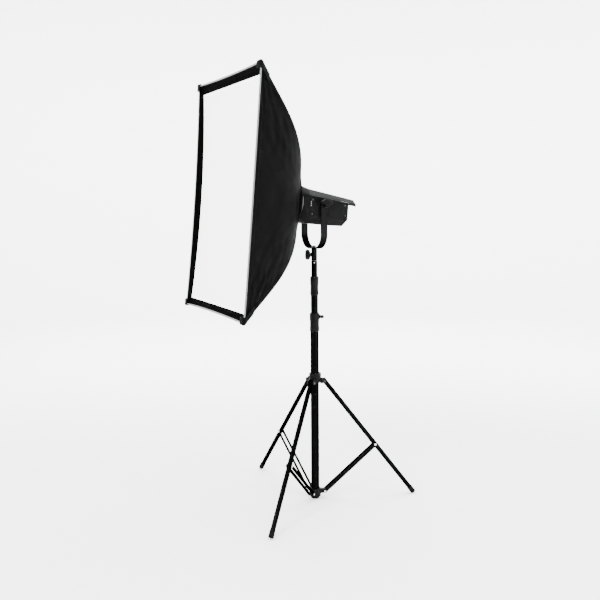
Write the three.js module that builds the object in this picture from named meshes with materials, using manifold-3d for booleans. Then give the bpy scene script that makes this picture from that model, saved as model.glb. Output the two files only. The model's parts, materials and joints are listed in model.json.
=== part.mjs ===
// A rectangular softbox on a bayonet-mount LED head, held by a U yoke on a three-section light stand.
// Millimetres, +Z up. The origin is on the floor under the column; the softbox's front faces -Y.
import * as THREE from "three";
import { mergeVertices } from "three/addons/utils/BufferGeometryUtils.js";
import { ConvexGeometry } from "three/addons/geometries/ConvexGeometry.js";
import Module from "manifold-3d";

const wasm = await Module();
wasm.setup();

// ---- Driving dimensions -------------------------------------------------------------------------

const GAP = 0.3; // between pieces that touch
const RUNNING = 0.35; // radial, between a shaft and its hole
const ROUND = 24; // sides of a large round piece
const RING_ROUND = 28; // sides of the rings round the head's mouth
const SMALL_ROUND = 10; // sides of a small one
const EDGE = 1.5; // chamfer on machined edges

// Softbox
const FACE_WIDTH = 600;
const FACE_HEIGHT = 900;
const FACE_AHEAD = 410; // from the tilt pivot to the front edge
const TILT_UP = THREE.MathUtils.degToRad(5.2);
const SIDE_BOW = 9.5; // how far the long front edges are drawn in by the cloth
const END_BOW = 5; // the same for the short edges
const BACK_BOW = 5.7; // how far the long front edges are drawn back
const CLOTH = 1.2;
const SHELL_FROM = 0.005; // the walls start just behind the binding, as a share of the seam
const SEAM_ROOM = 0.7; // between neighbouring walls at the corner seam
const SHELL_CLEAR = 8; // between the ring and the cloth's back edge
const ROD_RADIUS = 2.75;
const RING_SOFTNESS = 10; // how softly the walls bend over the ring
const ROD_SLOPE_FRONT = THREE.MathUtils.degToRad(42.5); // of the rod to the face's plane
const ROD_SLOPE_RING = THREE.MathUtils.degToRad(11);
const ROD_HANDLE_FRONT = 191; // the bend's Bezier handles
const ROD_HANDLE_RING = 227;
const ROD_PLAY = 0.9; // room for the bent rod in its socket
const ROD_INSET = 9; // of the rod's centre line under the corner seam
const ROD_FROM = 0.066; // the rod's front end, as a share of the seam
const ROD_TO = 0.955; // where it ends in the ring's socket
const SOCKET_LENGTH = 26;
const SOCKET_RADIUS = 6.5;
const SOCKET_BACK = 10; // how far the socket reaches past the rod's end
const LIP_DEPTH = 14.5;
const LIP_SIDE = 18; // how far the diffuser's edges stand inside the front edges
const LIP_TOP = 37;
const LIP_BOTTOM = 30;
const LIP_FLANGE = 10; // hook and loop strip behind the diffuser's hem
const LIP_BOW = 0.3; // share of the front edge's bow that the lip keeps
const BINDING_WIDTH = 7;
const BINDING_THICK = 1.6;
const BAFFLE_DEPTH = 165; // behind the front edge
const BAFFLE_MARGIN = 34; // between the baffle and the shell
const STRAP_WIDTH = 14;
const POCKET_SIZE = 26;
const POCKET_WALL = 2.4;
const POCKET_LENGTH = 44;
const POCKET_ROOM = 0.8; // between a pocket and the cloth under it
const POCKET_AHEAD = 4;

// Speed ring and bayonet
const RING_WIDTH = 12; // of the ring round the hub
const RING_THICK = 17;
const FLANGE_WIDTH = 9.5; // of the adapter's flange past the hub
const FLANGE_THICK = 3;
const SPIGOT_RADIUS = 59.4; // the adapter's male bayonet
const HUB_STEP = 4.6; // of the hub, which the ring turns on, past the spigot
const SPIGOT_WALL = 4;
const TAB_REACH = 4.2;
const TAB_THICK = 3.4;
const TAB_COUNT = 3;
const TAB_HALF_ANGLE = 0.3;
const MOUNT_THICK = 9.7;

// Head
const HEAD_HALF = 72;
const HEAD_FLAT = 48; // half width of the top and bottom flats
const HEAD_FRONT = 58; // ahead of the pivot
const HEAD_REAR = 121; // behind the pivot
const HEAD_BOTTOM = 79;
const BEVEL_TOP = 52; // where the lower bevels start, below the pivot
const LID_SEAM = 32.5; // height of the lid's seam at the front
const LID_SEAM_REAR = 12;
const LID_TOP = 58;
const LID_TOP_REAR = 31;
const HOOD_REACH = 34; // past the rear panel
const HOOD_CHEEK = 8;
const SHELL_WALL = 3;
const LID_PROUD = 0.5; // of the lid past the housing's sides
const PANEL_MARGIN = 6; // of the housing round the rear panel's sides
const PANEL_RISE = 4; // of the rear panel's lower edge above the bevels
const REAR_CHAMFER_HEIGHT = 27;
const REAR_CHAMFER_DEPTH = 10;
const BEZEL_LENGTH = 30;
const GLASS_RADIUS = 52.6;
const GLASS_THICK = 3;
const GLASS_SEAT = 7; // from the bezel's back
const BEZEL_LIP = 6; // length of the bezel's straight foot
const BEZEL_STEP = 9; // length of its round nose
const LED_BOARD = 62;
const LED_RADIUS = 15;
const SINK_MARGIN = 20; // on each side of the heat sink in the housing
const SINK_DEPTH = 74;
const SINK_BELOW = 8; // past the start of the lower bevels
const SINK_ROOM = 20; // under the lid's top
const FIN_COUNT = 9;
const FIN_THICK = 2.4;
const FAN_RADIUS = 44;
const FAN_DEPTH = 20;
const FAN_HEIGHT = -16;
const FAN_HUB_RADIUS = 15;
const BLADE_PITCH = 0.7;
const BLADE_COUNT = 7;
const AXLE_RADIUS = 3;
const VENT_COUNT = 9;
const VENT_WIDTH = 3.4;
const VENT_LENGTH = 56;
const VENT_PITCH = 8.5;
const VENT_AHEAD = -48; // the middle of the vents, ahead of the pivot
const DIAL_AT = [40, -30]; // on the rear panel, from the pivot's line
const DIAL_RADIUS = 11;
const DIAL_SHAFT = 4;
const BUTTON_AT = [40, -4];
const BUTTON_RADIUS = 5;
const SWITCH_AT = [-48, -34];
const SWITCH_SIZE = [14, 20];
const INLET_AT = [-12, -34];
const INLET_SIZE = [30, 22];
const DISPLAY_LOW = [-44, -20];
const DISPLAY_HIGH = [18, 10];
const DISPLAY_DEPTH = 1.4;

// Yoke and receiver
const YOKE_CLEAR = 7; // between the head's side and the strap
const YOKE_STRAP = 5;
const YOKE_WIDTH = 30;
const YOKE_BEND = 62;
const YOKE_DROP = 173; // from the pivot to the inside of the bend
const STUD_RADIUS = 6;
const BOSS_RADIUS = 17;
const STUD_REACH = 5.5; // of the stud past the yoke
const RECEIVER_STEP = 0.5; // of the receiver inside the top tube's radius
const RECEIVER_HEIGHT = 49;
const SPIGOT_PIN_RADIUS = 8;
const SPIGOT_PIN_HEIGHT = 36;
const BOLT_RADIUS = 5;
const BOLT_HEAD_RADIUS = 8.5;
const BOLT_HEAD_HEIGHT = 8;
const KNOB_RADIUS = 21;
const KNOB_THICK = 22;
const KNOB_LOBES = 7;
const RECEIVER_KNOB_UP = 24; // above the column's top
const RECEIVER_LUG = 3.5; // of the knob's boss past the receiver
const CLAMP_SCREW = 4;
const COLLAR_SCREW = 3.5;
const WING_THICK = 12;

// Stand
const PLUG_THICK = 3;
const LOWER_RADIUS = 17.5;
const TUBE_WALL = 1.5;
const TUBE_PLAY = 1; // between one tube and the next
const LOWER_TOP = 776; // height of the lower tube's top end
const COLLAR_HEIGHT = 77;
const COLLAR_ABOVE = 24; // how much of a collar stands above its tube
const COLLAR_FLARE = 3; // of the middle collar past the lower tube
const UPPER_FLARE = 2.8;
const COLLAR_KNOB_DOWN = 16; // below a collar's top
const MIDDLE_SHOWS = 75;
const TOP_SHOWS = 65;
const MIDDLE_LENGTH = 828;
const TOP_LENGTH = 837;
const SPIDER_BOTTOM = 506;
const SPIDER_HEIGHT = 40;
const SPIDER_WALL = 6.5;
const LEG_PIVOT_OUT = 16; // from the spider's face to the legs' pivots
const LEG_PIVOT_HEIGHT = 513;
const BRACE_PIVOT_OUT = 17;
const BRACE_PIVOT_HEIGHT = 30;
const BRACE_LEG_RADIUS = 258; // where a brace meets its leg
const BRACE_LEG_HEIGHT = 228;
const LEG_TUBE_RADIUS = 9.75;
const LEG_WALL = 1.3;
const FOOT_RADIUS = 11;
const FOOT_LENGTH = 30;
const FOOT_END = 6;
const FOOT_FLAT = 1; // depth of the flat that the floor has worn on the foot
const BRACE_WIDTH = 15;
const BRACE_THICK = 2;
const EAR_THICK = 3.2;
const PIN_RADIUS = 3;
const NEAR_LEG_ANGLE = THREE.MathUtils.degToRad(-52.4);
const COLLAR_KNOB_ANGLE = THREE.MathUtils.degToRad(60.6);
const UPPER_KNOB_ANGLE = THREE.MathUtils.degToRad(151);
const SPIDER_KNOB_ANGLE = THREE.MathUtils.degToRad(127.6);
const RECEIVER_KNOB_ANGLE = THREE.MathUtils.degToRad(240.6);

// ---- Sizes worked out from them -----------------------------------------------------------------

const middleRadius = LOWER_RADIUS - TUBE_WALL - TUBE_PLAY;
const topRadius = middleRadius - TUBE_WALL - TUBE_PLAY;
const receiverRadius = topRadius - RECEIVER_STEP;
const spiderRadius = LOWER_RADIUS + SPIDER_WALL;
const legPivotRadius = spiderRadius + LEG_PIVOT_OUT;
const bracePivotRadius = spiderRadius + BRACE_PIVOT_OUT;
const yokeHalf = HEAD_HALF + YOKE_CLEAR + YOKE_STRAP;
const panelHalf = HEAD_HALF - PANEL_MARGIN;
const panelLow = PANEL_RISE - BEVEL_TOP;
const sinkSize = 2 * (HEAD_HALF - SINK_MARGIN);
const hubRadius = SPIGOT_RADIUS + HUB_STEP;
const flangeRadius = hubRadius + FLANGE_WIDTH;
const mountRadius = flangeRadius - 0.5;
const noseBore = SPIGOT_RADIUS + TAB_REACH + 2.4;
const ringRadius = hubRadius + RING_WIDTH;
const middleTop = LOWER_TOP + MIDDLE_SHOWS + COLLAR_HEIGHT;
const columnTop = middleTop + COLLAR_ABOVE + TOP_SHOWS;
const yokeUnder = columnTop + RECEIVER_HEIGHT + 2 * GAP;
const pivotHeight = yokeUnder + YOKE_STRAP + YOKE_DROP;
const faceHalf = new THREE.Vector2(FACE_WIDTH / 2, FACE_HEIGHT / 2);
const faceDiagonal = faceHalf.length();
const cornerX = faceHalf.x / faceDiagonal;
const cornerZ = faceHalf.y / faceDiagonal;
const cornerAngle = Math.atan2(cornerZ, cornerX);
const bezelFront = HEAD_FRONT + GAP + BEZEL_LENGTH;
const mountFront = bezelFront + GAP + MOUNT_THICK;
const flangeFront = mountFront + GAP + FLANGE_THICK;
const shellBackRadius = ringRadius + SHELL_CLEAR;
const shellDepth = FACE_AHEAD - mountFront + 1;
const ringBore = hubRadius / Math.cos(Math.PI / RING_ROUND) + RUNNING; // the faceted ring turns freely

// ---- Solids: three.js geometry, joined and cut by manifold-3d -----------------------------------

/** Turns a closed geometry into a solid, moved by a matrix when one is given. */
function solid(geometry, place = null) {
  const bare = new THREE.BufferGeometry();
  const flat = geometry.index ? geometry.toNonIndexed() : geometry;
  bare.setAttribute("position", flat.getAttribute("position").clone());
  if (place) bare.applyMatrix4(place);
  const merged = mergeVertices(bare, 1e-3);
  const vertProperties = new Float32Array(merged.attributes.position.array);
  const triVerts = new Uint32Array(merged.index.array);
  return new wasm.Manifold(new wasm.Mesh({ numProp: 3, vertProperties, triVerts }));
}

/** Gives a solid back as a geometry. */
function geometryOf(shape) {
  const mesh = shape.getMesh();
  const geometry = new THREE.BufferGeometry();
  geometry.setAttribute("position", new THREE.BufferAttribute(new Float32Array(mesh.vertProperties), 3));
  geometry.setIndex(new THREE.BufferAttribute(new Uint32Array(mesh.triVerts), 1));
  geometry.computeVertexNormals();
  return geometry;
}

/** A box by its lowest and highest corners. */
function block(low, high) {
  const size = high.map((top, axis) => top - low[axis]);
  const middle = high.map((top, axis) => (top + low[axis]) / 2);
  return solid(new THREE.BoxGeometry(...size), new THREE.Matrix4().makeTranslation(...middle));
}

/** The turn that takes +Z onto a direction. */
function aim(direction) {
  const target = new THREE.Vector3(...direction).normalize();
  return new THREE.Quaternion().setFromUnitVectors(new THREE.Vector3(0, 0, 1), target);
}

/** A matrix that takes the origin to a point and +Z onto a direction. */
function placed(at, direction) {
  return new THREE.Matrix4().compose(new THREE.Vector3(...at), aim(direction), new THREE.Vector3(1, 1, 1));
}

/** A solid turned about an axis; its profile of [radius, height] pairs runs up the outside. */
function turned(profile, sides = ROUND, at = [0, 0, 0], direction = [0, 0, 1]) {
  const points = profile.map(([radius, height]) => new THREE.Vector2(radius, height));
  const geometry = new THREE.LatheGeometry(points, sides);
  geometry.rotateX(Math.PI / 2);
  return solid(geometry, placed(at, direction));
}

/** A round bar between two heights along a direction. */
function bar(radius, from, to, direction = [0, 0, 1], at = [0, 0, 0], sides = SMALL_ROUND) {
  return turned([[0, from], [radius, from], [radius, to], [0, to]], sides, at, direction);
}

/** A pipe between two heights. */
function pipe(outer, inner, from, to, sides = ROUND) {
  return turned([[inner, from], [outer, from], [outer, to], [inner, to], [inner, from]], sides);
}

/** A flat outline, as [a, b] pairs, given a thickness along +Z and then placed. */
function plate(outline, thickness, place = null, holes = []) {
  const shape = outline instanceof THREE.Shape
    ? outline
    : new THREE.Shape(outline.map(([a, b]) => new THREE.Vector2(a, b)));
  shape.holes.push(...holes);
  const settings = { depth: thickness, bevelEnabled: false, curveSegments: 6 };
  return solid(new THREE.ExtrudeGeometry(shape, settings), place);
}

/** The place of an outline drawn in X and Z, standing at a Y and growing towards +Y. */
function upright(y) {
  const turn = new THREE.Matrix4().makeBasis(
    new THREE.Vector3(-1, 0, 0),
    new THREE.Vector3(0, 0, 1),
    new THREE.Vector3(0, 1, 0),
  );
  return turn.setPosition(0, y, 0);
}

/** The convex solid around a set of points. */
function wrapped(points) {
  return solid(new ConvexGeometry(points.map((point) => new THREE.Vector3(...point))));
}

/** A closed ring of cloth or trim: loops of points around it, joined one to the next and back again. */
function band(loops) {
  const count = loops[0].length;
  const positions = loops.flat().flatMap((point) => point.toArray());
  const index = [];
  loops.forEach((_, row) => {
    const here = row * count;
    const next = ((row + 1) % loops.length) * count;
    for (let i = 0; i < count; i += 1) {
      const j = (i + 1) % count;
      index.push(here + i, here + j, next + j, here + i, next + j, next + i);
    }
  });
  return meshed(positions, index);
}

/** A stack of loops closed at both ends by flat fans. */
function stack(loops) {
  const count = loops[0].length;
  const positions = loops.flat().flatMap((point) => point.toArray());
  const index = [];
  for (let row = 0; row + 1 < loops.length; row += 1) {
    for (let i = 0; i < count; i += 1) {
      const here = row * count;
      const j = (i + 1) % count;
      index.push(here + i, here + j, here + count + j, here + i, here + count + j, here + count + i);
    }
  }
  [loops[0], loops.at(-1)].forEach((loop, end) => {
    const middle = new THREE.Vector3();
    loop.forEach((point) => middle.addScaledVector(point, 1 / count));
    const hub = positions.length / 3;
    const first = end ? (loops.length - 1) * count : 0;
    positions.push(...middle.toArray());
    for (let i = 0; i < count; i += 1) {
      const j = (i + 1) % count;
      index.push(...(end ? [hub, first + i, first + j] : [hub, first + j, first + i]));
    }
  });
  return meshed(positions, index);
}

/** A sheet of cloth: a grid of points and the same grid moved along its normals. */
function sheet(pointAt, columns, rows, thickness) {
  const faces = [0, thickness].map((depth) => {
    const grid = [];
    for (let row = 0; row <= rows; row += 1) {
      for (let column = 0; column <= columns; column += 1) {
        const u = (2 * column) / columns - 1;
        const v = row / rows;
        const here = pointAt(u, v);
        const across = pointAt(u + 0.01, v).sub(pointAt(u - 0.01, v));
        const along = pointAt(u, v + 0.005).sub(pointAt(u, v - 0.005));
        grid.push(here.addScaledVector(across.cross(along).normalize(), depth));
      }
    }
    return grid;
  });
  const width = columns + 1;
  const count = width * (rows + 1);
  const positions = faces.flat().flatMap((point) => point.toArray());
  const index = [];
  const quad = (a, b, c, d) => index.push(a, b, c, a, c, d);
  for (let row = 0; row < rows; row += 1) {
    for (let column = 0; column < columns; column += 1) {
      const a = row * width + column;
      quad(a, a + width, a + width + 1, a + 1);
      quad(count + a, count + a + 1, count + a + width + 1, count + a + width);
    }
  }
  for (let column = 0; column < columns; column += 1) {
    const far = rows * width + column;
    quad(column, column + 1, count + column + 1, count + column);
    quad(far + 1, far, count + far, count + far + 1);
  }
  for (let row = 0; row < rows; row += 1) {
    const left = row * width;
    const right = left + columns;
    quad(left + width, left, count + left, count + left + width);
    quad(right, right + width, count + right + width, count + right);
  }
  return meshed(positions, index);
}

/** A solid from points and triangles, turned face out whichever way they run. */
function meshed(positions, index) {
  const build = (order) => {
    const geometry = new THREE.BufferGeometry();
    geometry.setAttribute("position", new THREE.Float32BufferAttribute(positions, 3));
    geometry.setIndex(order);
    return solid(geometry);
  };
  const made = build(index);
  return made.volume() > 0 ? made : build([...index].reverse());
}

/** Joins solids into one. */
function joined(...shapes) {
  return shapes.reduce((whole, shape) => whole.add(shape));
}

/** Cuts tools out of a solid. */
function cut(shape, ...tools) {
  return tools.reduce((rest, tool) => rest.subtract(tool), shape);
}

// ---- The assembly and its finishes --------------------------------------------------------------

const assembly = new THREE.Group();
const head = new THREE.Group();
head.position.z = pivotHeight;
head.rotation.x = -TILT_UP;
assembly.add(head);

const FINISHES = {
  blackCloth: [0x0b0b0c, 0.9, 0],
  greyTape: [0xb9bbbd, 0.8, 0],
  whiteCloth: [0xf6f6f4, 0.85, 0],
  steelRod: [0x55585a, 0.4, 0.9],
  blackPlastic: [0x121314, 0.55, 0],
  greyPaint: [0x2c2e2e, 0.5, 0.2],
  paleGreyPaint: [0x4a4c4e, 0.5, 0.2],
  blackMetal: [0x0e0f10, 0.35, 0.6],
  rawMetal: [0xb4b7ba, 0.3, 0.95],
  castRing: [0x9fa2a4, 0.35, 0.9],
  glass: [0xdfe6e8, 0.05, 0],
  phosphor: [0xe6c243, 0.6, 0],
  rubber: [0x0a0a0a, 0.9, 0],
  display: [0x050608, 0.1, 0],
};

/** Adds a named piece to a group. */
function piece(name, shape, finish, parent = assembly) {
  const [color, roughness, metalness] = FINISHES[finish];
  const material = new THREE.MeshStandardMaterial({ color, roughness, metalness });
  const mesh = new THREE.Mesh(geometryOf(shape), material);
  mesh.name = name;
  parent.add(mesh);
  return mesh;
}

// ---- Softbox: shape of the shell ----------------------------------------------------------------

/** A point on the corner seam: distance from the head's axis and depth behind the face, 0 <= t <= 1. */
function seam(t) {
  const start = new THREE.Vector2(faceDiagonal, 0);
  const end = new THREE.Vector2(shellBackRadius, shellDepth);
  const leave = new THREE.Vector2(-Math.cos(ROD_SLOPE_FRONT), Math.sin(ROD_SLOPE_FRONT));
  const arrive = new THREE.Vector2(-Math.cos(ROD_SLOPE_RING), Math.sin(ROD_SLOPE_RING));
  const curve = new THREE.CubicBezierCurve(
    start,
    start.clone().addScaledVector(leave, ROD_HANDLE_FRONT),
    end.clone().addScaledVector(arrive, -ROD_HANDLE_RING),
    end,
  );
  return curve.getPoint(t);
}

/** How far the ring pushes the middle of a wall out past its straight line between the rods. */
function ringPush(straight) {
  const past = shellBackRadius - straight;
  return (past + Math.hypot(past, RING_SOFTNESS)) / 2;
}

/** A point on the outside of one of the shell's four walls; u runs across it from -1 to 1. */
function wallPoint(onSide, sign, u, t, grow = 0) {
  const { x: radius, y: depth } = seam(t);
  const across = onSide ? cornerZ : cornerX;
  const out = onSide ? cornerX : cornerZ;
  const spread = onSide ? cornerAngle : Math.PI / 2 - cornerAngle;
  const bow = (onSide ? SIDE_BOW : END_BOW) * (1 - u * u) * (1 - t);
  const back = (onSide ? BACK_BOW : 0) * (1 - u * u) * (1 - t);
  const push = ringPush(radius * out);
  const turn = Math.min(1, push / (shellBackRadius * (1 - out)));
  const dome = (Math.cos(spread * u) - Math.cos(spread)) / (1 - Math.cos(spread));
  const far = radius * out - bow + push * dome + grow;
  const side = THREE.MathUtils.lerp(u * radius * across, radius * Math.sin(spread * u), turn) + grow * u;
  const y = depth + back - FACE_AHEAD;
  return onSide ? new THREE.Vector3(sign * far, y, side) : new THREE.Vector3(side, y, sign * far);
}

/** A loop of points round the shell at t, grown outwards, with so many steps on each wall. */
function shellLoop(t, grow, steps = 6) {
  const walls = [[true, 1, 1], [false, 1, -1], [true, -1, -1], [false, -1, 1]];
  return walls.flatMap(([onSide, sign, way]) =>
    Array.from({ length: steps }, (_, i) => wallPoint(onSide, sign, way * ((2 * i) / steps - 1), t, grow)));
}

/** A loop parallel to the front edge: inset from it on each wall, at a depth, with a share of its bow. */
function frontLoop(insets, depth, bowShare, steps = 8) {
  const { side, top, bottom } = insets;
  const walls = [["right", 1], ["top", -1], ["left", -1], ["bottom", 1]];
  return walls.flatMap(([wall, way]) =>
    Array.from({ length: steps }, (_, i) => {
      const u = way * ((2 * i) / steps - 1);
      const bend = 1 - u * u;
      const upper = faceHalf.y - top;
      const lower = -faceHalf.y + bottom;
      const wide = faceHalf.x - side;
      const y = depth - FACE_AHEAD;
      if (wall === "right" || wall === "left") {
        const sign = wall === "right" ? 1 : -1;
        const z = THREE.MathUtils.lerp(lower, upper, (u + 1) / 2);
        const drawn = bend * bowShare;
        return new THREE.Vector3(sign * (wide - SIDE_BOW * drawn), y + BACK_BOW * drawn, z);
      }
      const end = wall === "top" ? upper - END_BOW * bend * bowShare : lower + END_BOW * bend * bowShare;
      return new THREE.Vector3(u * wide, y, end);
    }));
}

/** The same inset on all four walls. */
function even(inset) {
  return { side: inset, top: inset, bottom: inset };
}

/** The rod's line, a little inside the corner seam. */
class RodLine extends THREE.Curve {
  constructor(signX, signZ, from, to) {
    super();
    Object.assign(this, { signX, signZ, from, to });
  }

  getPoint(share, target = new THREE.Vector3()) {
    const t = THREE.MathUtils.lerp(this.from, this.to, share);
    const here = seam(t);
    const along = seam(t + 0.002).sub(seam(t - 0.002)).normalize();
    const radius = here.x - along.y * ROD_INSET;
    const depth = here.y + along.x * ROD_INSET;
    return target.set(this.signX * cornerX * radius, depth - FACE_AHEAD, this.signZ * cornerZ * radius);
  }
}

const corners = [
  ["top_right", 1, 1],
  ["top_left", -1, 1],
  ["bottom_left", -1, -1],
  ["bottom_right", 1, -1],
];

/** Softbox cloth: four walls, lip, binding, diffusers and corner pockets. */
function addCloth() {
  const trim = CLOTH + SEAM_ROOM;
  const walls = [["right", true, 1], ["left", true, -1], ["top", false, 1], ["bottom", false, -1]];
  for (const [name, onSide, sign] of walls) {
    const wall = sheet((u, v) => {
      const t = THREE.MathUtils.lerp(SHELL_FROM, 1, v);
      const half = seam(t).x * (onSide ? cornerZ : cornerX);
      return wallPoint(onSide, sign, u * (1 - trim / half), t);
    }, 6, 10, (onSide ? 1 : -1) * sign * CLOTH);
    piece(`shell_${name}`, wall, "blackCloth", head);
  }

  const binding = band([
    frontLoop(even(0), -GAP - BINDING_THICK, 1),
    frontLoop(even(BINDING_WIDTH), -GAP - BINDING_THICK, 1),
    frontLoop(even(BINDING_WIDTH), -GAP, 1),
    frontLoop(even(0), -GAP, 1),
  ]);
  piece("front_binding", binding, "greyTape", head);

  const rim = even(CLOTH + 2.5);
  const knee = { side: LIP_SIDE, top: LIP_TOP, bottom: LIP_BOTTOM };
  const inner = {
    side: LIP_SIDE + LIP_FLANGE,
    top: LIP_TOP + LIP_FLANGE,
    bottom: LIP_BOTTOM + LIP_FLANGE,
  };
  const lip = band([
    frontLoop(rim, 0.6, 1),
    frontLoop(knee, LIP_DEPTH, LIP_BOW),
    frontLoop(inner, LIP_DEPTH, LIP_BOW),
    frontLoop(inner, LIP_DEPTH + CLOTH, LIP_BOW),
    frontLoop(knee, LIP_DEPTH + CLOTH, LIP_BOW),
    frontLoop(rim, 0.6 + CLOTH, 1),
  ]);
  piece("front_lip", lip, "blackCloth", head);

  const hem = { side: LIP_SIDE + 1, top: LIP_TOP + 1, bottom: LIP_BOTTOM + 1 };
  const diffuser = stack([
    frontLoop(hem, LIP_DEPTH - GAP - CLOTH, LIP_BOW),
    frontLoop(hem, LIP_DEPTH - GAP, LIP_BOW),
  ]);
  piece("front_diffuser", diffuser, "whiteCloth", head);

  addPockets();
  addBaffle();
}

/** Four cups sewn over the rod ends at the front corners. */
function addPockets() {
  const lengths = [0, 0.06, 0.12, 0.18];
  const envelope = (grow, ahead) => stack([
    shellLoop(0, grow).map((point) => point.add(new THREE.Vector3(0, -ahead, 0))),
    ...lengths.map((t) => shellLoop(t, grow)),
  ]);
  const reach = POCKET_WALL + POCKET_AHEAD;
  const outer = envelope(POCKET_WALL + POCKET_ROOM, reach);
  const inner = envelope(POCKET_ROOM, 2 * GAP);
  const bindingRoom = block(
    [-faceHalf.x - 1, -FACE_AHEAD - BINDING_THICK - 2 * GAP, -faceHalf.y - 1],
    [faceHalf.x + 1, -FACE_AHEAD + 0.01, faceHalf.y + 1],
  );
  for (const [name, signX, signZ] of corners) {
    const x = [signX * (faceHalf.x - POCKET_SIZE), signX * (faceHalf.x + reach)].sort((a, b) => a - b);
    const z = [signZ * (faceHalf.y - POCKET_SIZE), signZ * (faceHalf.y + reach)].sort((a, b) => a - b);
    const front = -FACE_AHEAD - BINDING_THICK - 2 * GAP - POCKET_WALL;
    const region = block([x[0], front, z[0]], [x[1], -FACE_AHEAD + POCKET_LENGTH, z[1]]);
    const cup = cut(outer.intersect(region), inner, bindingRoom);
    piece(`corner_pocket_${name}`, cup, "blackCloth", head);
  }
}

/** The inner baffle, a smaller sheet on four straps. */
function addBaffle() {
  const steps = Array.from({ length: 101 }, (_, i) => i / 100);
  const { x: radius } = seam(steps.find((t) => seam(t).y >= BAFFLE_DEPTH));
  const half = new THREE.Vector2(radius * cornerX - BAFFLE_MARGIN, radius * cornerZ - BAFFLE_MARGIN);
  const y = BAFFLE_DEPTH - FACE_AHEAD;
  const sheetBlock = block([-half.x, y, -half.y], [half.x, y + CLOTH, half.y]);
  const strapEnd = radius - ROD_INSET * 2 - ROD_RADIUS;
  const straps = corners.map(([, signX, signZ]) => {
    const strap = block([0, 0, -STRAP_WIDTH / 2], [strapEnd, CLOTH, STRAP_WIDTH / 2]);
    const turn = new THREE.Euler(0, -Math.atan2(signZ * cornerZ, signX * cornerX), 0);
    return strap.transform(new THREE.Matrix4().makeRotationFromEuler(turn).setPosition(0, y, 0).toArray());
  });
  piece("inner_baffle", joined(sheetBlock, ...straps), "whiteCloth", head);
}

/** Speed ring, its four rods and the bayonet adapter that it turns on. */
function addRing() {
  const back = -flangeFront - GAP;
  const profile = [
    [ringBore, 0],
    [ringRadius - EDGE, 0],
    [ringRadius, EDGE],
    [ringRadius, RING_THICK - EDGE],
    [ringRadius - EDGE, RING_THICK],
    [ringBore, RING_THICK],
    [ringBore, 0],
  ];
  let ring = turned(profile, RING_ROUND, [0, back, 0], [0, -1, 0]);
  for (const [name, signX, signZ] of corners) {
    const line = new RodLine(signX, signZ, ROD_FROM, ROD_TO);
    const root = line.getPoint(1);
    const outward = line.getPoint(0.99).sub(root).normalize();
    const socketBack = root.clone().addScaledVector(outward, -SOCKET_BACK);
    const at = socketBack.toArray();
    const way = outward.toArray();
    const body = bar(SOCKET_RADIUS, 0, SOCKET_LENGTH, way, at, SMALL_ROUND);
    const radial = new THREE.Vector3(signX * cornerX, 0, signZ * cornerZ);
    const sideways = new THREE.Vector3(-radial.z, 0, radial.x);
    const bridge = wrapped([-1, 1].flatMap((side) => [
      [ringRadius - 8, back - 2, 9],
      [ringRadius - 8, back - RING_THICK + 2, 9],
      [socketBack.dot(radial) + 6, socketBack.y - SOCKET_RADIUS + 1, SOCKET_RADIUS - 1],
      [socketBack.dot(radial) + 6, socketBack.y + SOCKET_RADIUS - 3, SOCKET_RADIUS - 1],
    ].map(([radius, y, half]) =>
      radial.clone().multiplyScalar(radius).addScaledVector(sideways, side * half).setY(y).toArray())));
    ring = joined(ring, bridge, body);
    ring = cut(ring, bar(ROD_RADIUS + ROD_PLAY, SOCKET_BACK - 1, SOCKET_LENGTH + 40, way, at, SMALL_ROUND));
    const section = new THREE.Shape().absarc(0, 0, ROD_RADIUS, 0, 2 * Math.PI);
    const settings = { steps: 16, bevelEnabled: false, extrudePath: line, curveSegments: 4 };
    piece(`rod_${name}`, solid(new THREE.ExtrudeGeometry(section, settings)), "steelRod", head);
  }
  ring = cut(ring, bar(ringBore, -30, 60, [0, -1, 0], [0, back, 0], RING_ROUND));
  piece("speed_ring", ring, "blackMetal", head);

  const spigotInner = SPIGOT_RADIUS - SPIGOT_WALL;
  const spigotBack = MOUNT_THICK + GAP * 2 + TAB_THICK + 0.6;
  let adapter = turned([
    [spigotInner, -spigotBack],
    [SPIGOT_RADIUS, -spigotBack],
    [SPIGOT_RADIUS, 0],
    [flangeRadius, 0],
    [flangeRadius, FLANGE_THICK],
    [hubRadius, FLANGE_THICK],
    [hubRadius, FLANGE_THICK + RING_THICK - 2],
    [spigotInner, FLANGE_THICK + RING_THICK - 2],
    [spigotInner, -spigotBack],
  ], RING_ROUND, [0, -mountFront - GAP, 0], [0, -1, 0]);
  for (let tab = 0; tab < TAB_COUNT; tab += 1) {
    const middle = (tab * 2 * Math.PI) / TAB_COUNT + Math.PI / 2;
    const shape = new THREE.Shape();
    shape.absarc(0, 0, SPIGOT_RADIUS + TAB_REACH, middle - TAB_HALF_ANGLE, middle + TAB_HALF_ANGLE, false);
    shape.absarc(0, 0, SPIGOT_RADIUS - 1, middle + TAB_HALF_ANGLE, middle - TAB_HALF_ANGLE, true);
    adapter = adapter.add(plate(shape, TAB_THICK, upright(-mountFront - GAP + spigotBack - TAB_THICK)));
  }
  piece("bayonet_adapter", adapter, "rawMetal", head);
}

// ---- Head -----------------------------------------------------------------------------------------

/** Height of a sloping line of the head at a distance ahead of the pivot. */
function slope(front, rear, ahead) {
  const share = (HEAD_FRONT - ahead) / (HEAD_FRONT + HEAD_REAR + HOOD_REACH);
  return THREE.MathUtils.lerp(front, rear, share);
}

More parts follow.
